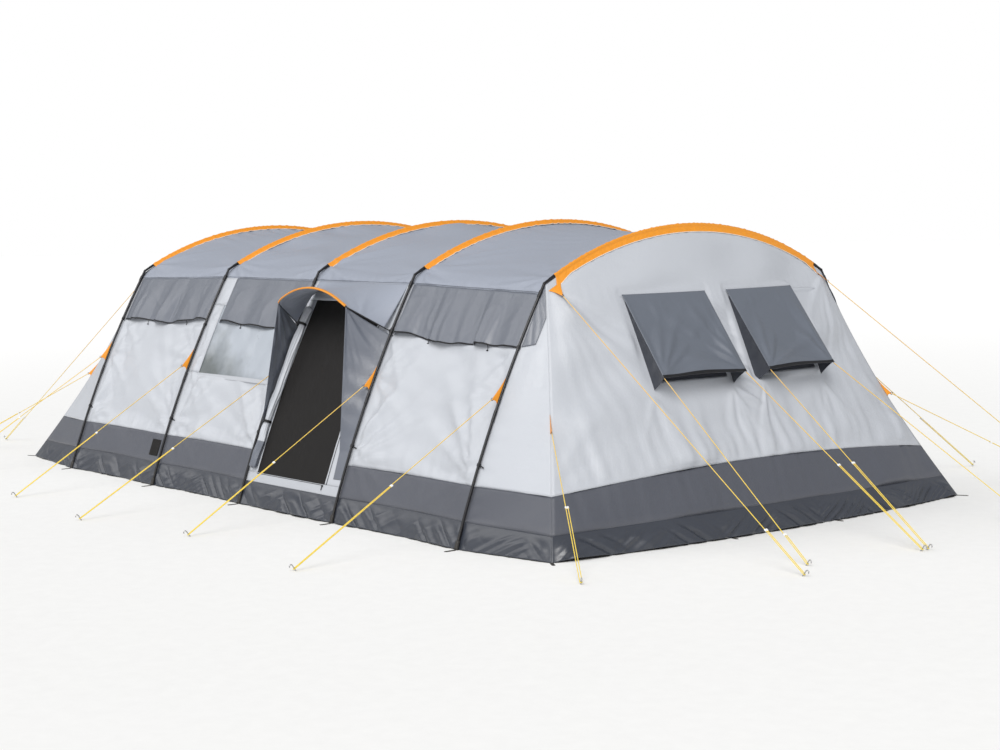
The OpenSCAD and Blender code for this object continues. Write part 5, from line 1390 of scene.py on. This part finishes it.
# ---------------------------------------------------------------- poles and sleeves
class TENT_OT_pole_sleeves(bpy.types.Operator):
    """Orange sleeves that carry the roof poles"""

    bl_idname = "tent.pole_sleeves"
    bl_label = "Pole sleeves"

    def execute(self, context):
        sheets, lines = [], []
        for k, hoop in enumerate(HOOPS):
            points, run, side = self.sleeve(k, hoop)
            sheets.append(patch(points, side, run, facing=points - points.mean(axis=(0, 1)) + [0, 0, 0.9]))
            lines += [tube(points[row] + [0, 0, 0.0012], 0.0022, 8) for row in (0, -1)]
        sew("pole_sleeve_cloth", sheets, "orange_cloth", (0.12, 2.7 * 5), "roof_poles", node="pole_sleeves",
            thick=0.001)
        piece("pole_sleeve_piping", lines, "piping", slot="orange_cloth")
        return {"FINISHED"}

    def sleeve(self, k, hoop):
        """A sleeve's grid: a round over the pole, then a wing on the dipping roof or a lap down an end wall."""
        reach = ROOF_ANGLE - 0.1045 / ROOF_R
        a, w = grid(-reach, reach, -1, 1, 260, 40)
        run = a * ROOF_R
        cz = shoulder_z(hoop) + ROOF_RISE - ROOF_R
        side = w * SLEEVE_HALF + 0.0012 * wave(run, 0.13, 5220 + k) * w
        bulge = np.exp(-((side / 0.0128) ** 2)) ** 0.8
        fine, broad = (0.0024 * wave(run, length, seed + k) for length, seed in ((0.055, 5200), (0.095, 5210)))
        gather = fine * (1 - np.abs(w)) ** 0.5 + broad * w**2
        slant = 0.0014 * wave(run + 1.6 * side, 0.030, 5230 + k) * np.sin(np.pi * np.abs(w))
        crimp = fold_depth() * np.maximum(gather + slant, -0.0006)
        r = END_R + 0.0017 + 0.0245 * bulge + crimp
        bay = np.clip(np.where(w < 0, k - 1, k), 0, 3)
        away = np.abs(side) / (HOOPS[bay + 1] - HOOPS[bay])
        share = 0.3 + 0.7 * np.cos(np.pi / 2 * np.clip(a / CROWN, -1, 1))
        points = stack(hoop + side, r * np.sin(a), cz + r * np.cos(a) - ROOF_DIP * 4 * away * (1 - away) * share)
        if k in (0, 4):
            e = 1 if k == 4 else -1
            d, turned = e * w, 0.36
            u = np.sin(np.clip(a / ROOF_ANGLE, -1, 1) * ROOF_ANGLE) / np.sin(ROOF_ANGLE)
            over = np.clip((d - turned) / (1 - turned), 0, 1)
            deep = SLEEVE_LAP + 0.030 * smooth(0.88, 1.0, np.abs(a) / reach)
            lap = end_wall(e, u, end_top(u) - 0.004 - deep * over, 0.0026 + crimp + 0.002 * over)
            steps = [0, 0.12, 0.24, turned]
            sx = np.interp(d, steps, [0, 0.0068, 0.0092, 0.0080])
            r = ROOF_R + np.interp(d, steps, [0.0105, 0.0072, -0.001, -0.0140]) + gather * 0.5
            points = np.where((d > 0)[..., None], stack(hoop + e * sx, r * np.sin(a), cz + r * np.cos(a)), points)
            points = np.where((d >= turned)[..., None], lap, points)
        return points, run, side


class TENT_OT_poles(bpy.types.Operator):
    """Finishes of poles, elbows, feet, clips, pegs and runners"""

    bl_idname = "tent.poles"
    bl_label = "Poles and fittings"

    def execute(self, context):
        repaint("pole_black", "roof_poles", "leg_poles")
        repaint("black_plastic", "shoulder_elbows", "pole_clips")
        repaint("peg_steel", "pin_feet", "pegs")
        repaint("webbing", "peg_loops")
        repaint("runner_plastic", *(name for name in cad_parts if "runner" in name))
        caps, tails = [], []
        t = np.linspace(0, 1, 8)
        for k in range(5):
            for side in (-1, 1):
                caps.append(tube(leg_point(k, side, np.linspace(0.003, 0.060, 6)), 0.0150, 16))
                tail = stack(0.010 + 0.032 * t, -side * 0.010 * t, -0.012 * t**2)
                tails.append(tube(leg_point(k, side, 0.545) + tail, 0.0042, 8))
        piece("leg_foot_caps", caps, "black_plastic")
        piece("clip_tails", tails, "webbing")
        return {"FINISHED"}


# ---------------------------------------------------------------- guy ropes and tabs
def toward(base, peg, reach):
    return base + unit(np.array([*peg, 0]) - base) * reach


def seam_point(e, side, z):
    return end_wall(e, np.array(float(side)), z) + [0.0002 if e > 0 else -0.0012, side * 0.0003, 0]


def tab_root(e, side, share):
    u = np.array(side * share)
    return end_wall(e, u, end_top(u) - 0.050) + [e * 0.001, 0, 0]


def leg_tip(k, side):
    return toward(leg_point(k, side, PULL_TIP), LEG_PEGS[side][k], PULL_REACH)


def corner_tip(j):
    return toward(seam_point(*ENDS[j], CORNER_TAB_Z), CORNER_PEGS[j], 0.075)


def shoulder_tip(j):
    return toward(tab_root(*ENDS[j], 0.945), SHOULDER_PEGS[j], 0.105)


def flap_tip(j):
    """Lower corner of a window flap: 0 and 1 on the door side, 2 and 3 on the far side."""
    hinge, _, down = flap_frame(-1 if j < 2 else 1)
    return hinge(FLAP_IN + 0.006 if j % 2 == 0 else FLAP_OUT - 0.006) + down * FLAP_LEN


def rope_line(tip, peg, share):
    """A rope's line: straight from its tip to the peg, half round the peg, and back into its runner."""
    ground = np.array([*peg, 0.0])
    d = unit(tip - ground)
    loop = ground + unit(np.array([0, 0, 1]) - d * d[2]) * LOOP_HEIGHT
    d = unit(tip - loop)
    for _ in range(4):
        side = unit(np.array([-d[1], d[0], 0]))
        d = unit(tip - loop - side * LOOP_R)
    side = unit(np.array([-d[1], d[0], 0]))
    long = (tip - loop) @ d
    a = np.linspace(0, np.pi, 17)[1:-1, None]
    down = loop + side * LOOP_R + d * np.linspace(long - 0.0004, 0, 60)[:, None]
    bend = loop + LOOP_R * (np.cos(a) * side - np.sin(a) * d)
    back = loop - side * LOOP_R + d * np.linspace(0, long * share + 0.016, 30)[:, None]
    return np.concatenate([down, bend, back]), np.cross(d, side), d


def all_ropes():
    """Tip, peg and share of the rope that runs back, for every rope that does not hold a window flap."""
    legs = [(leg_tip(k, side), LEG_PEGS[side][k], LONG_SHARE) for side in (-1, 1) for k in range(5)]
    corners = [(corner_tip(j), CORNER_PEGS[j], LONG_SHARE) for j in range(4)]
    return legs + corners + [(shoulder_tip(j), SHOULDER_PEGS[j], SHORT_SHARE) for j in range(4)]


class TENT_OT_ropes(bpy.types.Operator):
    """Guy ropes from the tabs to the pegs"""

    bl_idname = "tent.ropes"
    bl_label = "Guy ropes"

    def execute(self, context):
        self.tie("guy_rope_braid", all_ropes(), "tent", "guy_ropes")
        for first, side in ((0, "near"), (2, "far")):
            ropes = [(flap_tip(j), FLAP_PEGS[j], FLAP_SHARES[j]) for j in (first, first + 1)]
            obj = self.tie(f"flap_rope_braid_{side}", ropes, None, "flap_ropes")
            path, _, d = rope_line(*ropes[0])
            tuple(path[59])
            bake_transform(obj)
        return {"FINISHED"}

    def tie(self, name, ropes, body, node):
        """One piece of all the ropes given."""
        tubes = []
        for rope in ropes:
            path, spin, _ = rope_line(*rope)
            tubes.append(tube(path, ROPE_D / 2, 10, spin=spin))
        return piece(name, tubes, "guy_rope", body=body, node=node)


class TENT_OT_guy_tabs(bpy.types.Operator):
    """Orange pull-outs and tabs with their rings"""

    bl_idname = "tent.guy_tabs"
    bl_label = "Tabs"

    def execute(self, context):
        self.sew_tabs("leg_pull_out_cloth", "leg_pull_outs", self.leg_tabs())
        self.sew_tabs("guy_tab_cloth", "guy_tabs", self.other_tabs())
        piece("tab_rings", [self.ring(tip, peg) for tip, peg, _ in all_ropes()], "black_plastic")
        return {"FINISHED"}

    def ring(self, tip, peg):
        """A closed ring of round wire at a tab's tip, in line with its rope."""
        d = unit(np.array([*peg, 0]) - tip)
        side = unit(np.array([-d[1], d[0], 0]))
        a = np.linspace(0, 2 * np.pi, 25)[:-1, None]
        line = tip - d * 0.003 + 0.0085 * (np.cos(a) * d + np.sin(a) * np.cross(d, side))
        b = np.linspace(0, 2 * np.pi, 9)[:-1]
        r = unit(line - line.mean(0))[:, None]
        points = line[:, None] + 0.0018 * (np.cos(b)[:, None] * r + np.sin(b)[:, None] * side)
        points, line = (np.concatenate([part, part[:1]]) for part in (points, line))
        run = np.arange(len(points))[:, None] * 0.002
        return patch(points, b[None], run, wrap=True, facing=points - line[:, None])

    def leg_tabs(self):
        """Upper and lower end of each pull-out's sewn edge on its leg, and its tip."""
        return [(*(leg_point(k, side, z, 0.0107) for z in PULL_EDGE), leg_tip(k, side))
                for k in range(5) for side in (-1, 1)]

    def other_tabs(self):
        """The same for the tabs on the corner seams and on the end walls' shoulders."""
        corners = [(*(seam_point(*ENDS[j], CORNER_TAB_Z + rise) for rise in (0.070, -0.050)), corner_tip(j))
                   for j in range(4)]
        return corners + [(*(tab_root(*ENDS[j], share) for share in (0.985, 0.905)), shoulder_tip(j)) for j in range(4)]

    def sew_tabs(self, name, node, tabs):
        """Each tab: straight lines from its sewn edge to its tip, hollowed along both free sides."""
        w, h = grid(0, 1, 0, 1, 12, 16)
        across = 0.5 + (w - 0.5) * (1 - 0.18 * np.sin(np.pi * h))
        hem = 0.0012 * (np.minimum(w, 1 - w) < 0.18) + 0.0008 * (h < 0.12)
        sheets = []
        for a, b, tip in tabs:
            n = unit(np.cross(b - a, tip - a))
            points = mix(mix(a, b, across[..., None]), tip, np.minimum(h, 0.93)[..., None]) + hem[..., None] * n
            sheets.append(patch(points, w * 0.15, h * 0.09, facing=n))
        sew(name, sheets, "orange_cloth", (0.15 * len(tabs) / 2, 0.085), "leg_poles", node=node, thick=0.002)


# ---------------------------------------------------------------- panel and registration
class TENT_PT_panel(bpy.types.Panel):
    """The tent's pieces, in the order in which they are made"""

    bl_label = "Tent"
    bl_idname = "TENT_PT_panel"
    bl_space_type = "VIEW_3D"
    bl_region_type = "UI"
    bl_category = "Tent"

    def draw(self, context):
        for settings in (context.scene.tent_cloth, context.scene.tent_stage):
            for name in settings.bl_rna.properties.keys():
                if name not in {"rna_type", "name"}:
                    self.layout.prop(settings, name)
        for operator in PIECES:
            self.layout.operator(operator.bl_idname)


PIECES = (TENT_OT_stage, TENT_OT_roof, TENT_OT_side_walls, TENT_OT_end_walls, TENT_OT_ground_cloth, TENT_OT_low_vent,
          TENT_OT_windows, TENT_OT_window_flaps, TENT_OT_valances, TENT_OT_porch, TENT_OT_door, TENT_OT_rolled_door,
          TENT_OT_pole_sleeves, TENT_OT_poles, TENT_OT_guy_tabs, TENT_OT_ropes)
CLASSES = (TentCloth, TentStage, *PIECES, TENT_PT_panel)


def register():
    for cls in CLASSES:
        bpy.utils.register_class(cls)
    bpy.types.Scene.tent_cloth = bpy.props.PointerProperty(type=TentCloth)
    bpy.types.Scene.tent_stage = bpy.props.PointerProperty(type=TentStage)


def unregister():
    del bpy.types.Scene.tent_stage
    del bpy.types.Scene.tent_cloth
    for cls in reversed(CLASSES):
        bpy.utils.unregister_class(cls)


def main():
    register()
    for operator in PIECES:
        group, name = operator.bl_idname.split(".")
        getattr(getattr(bpy.ops, group), name)()


if __name__ == "__main__":
    main()
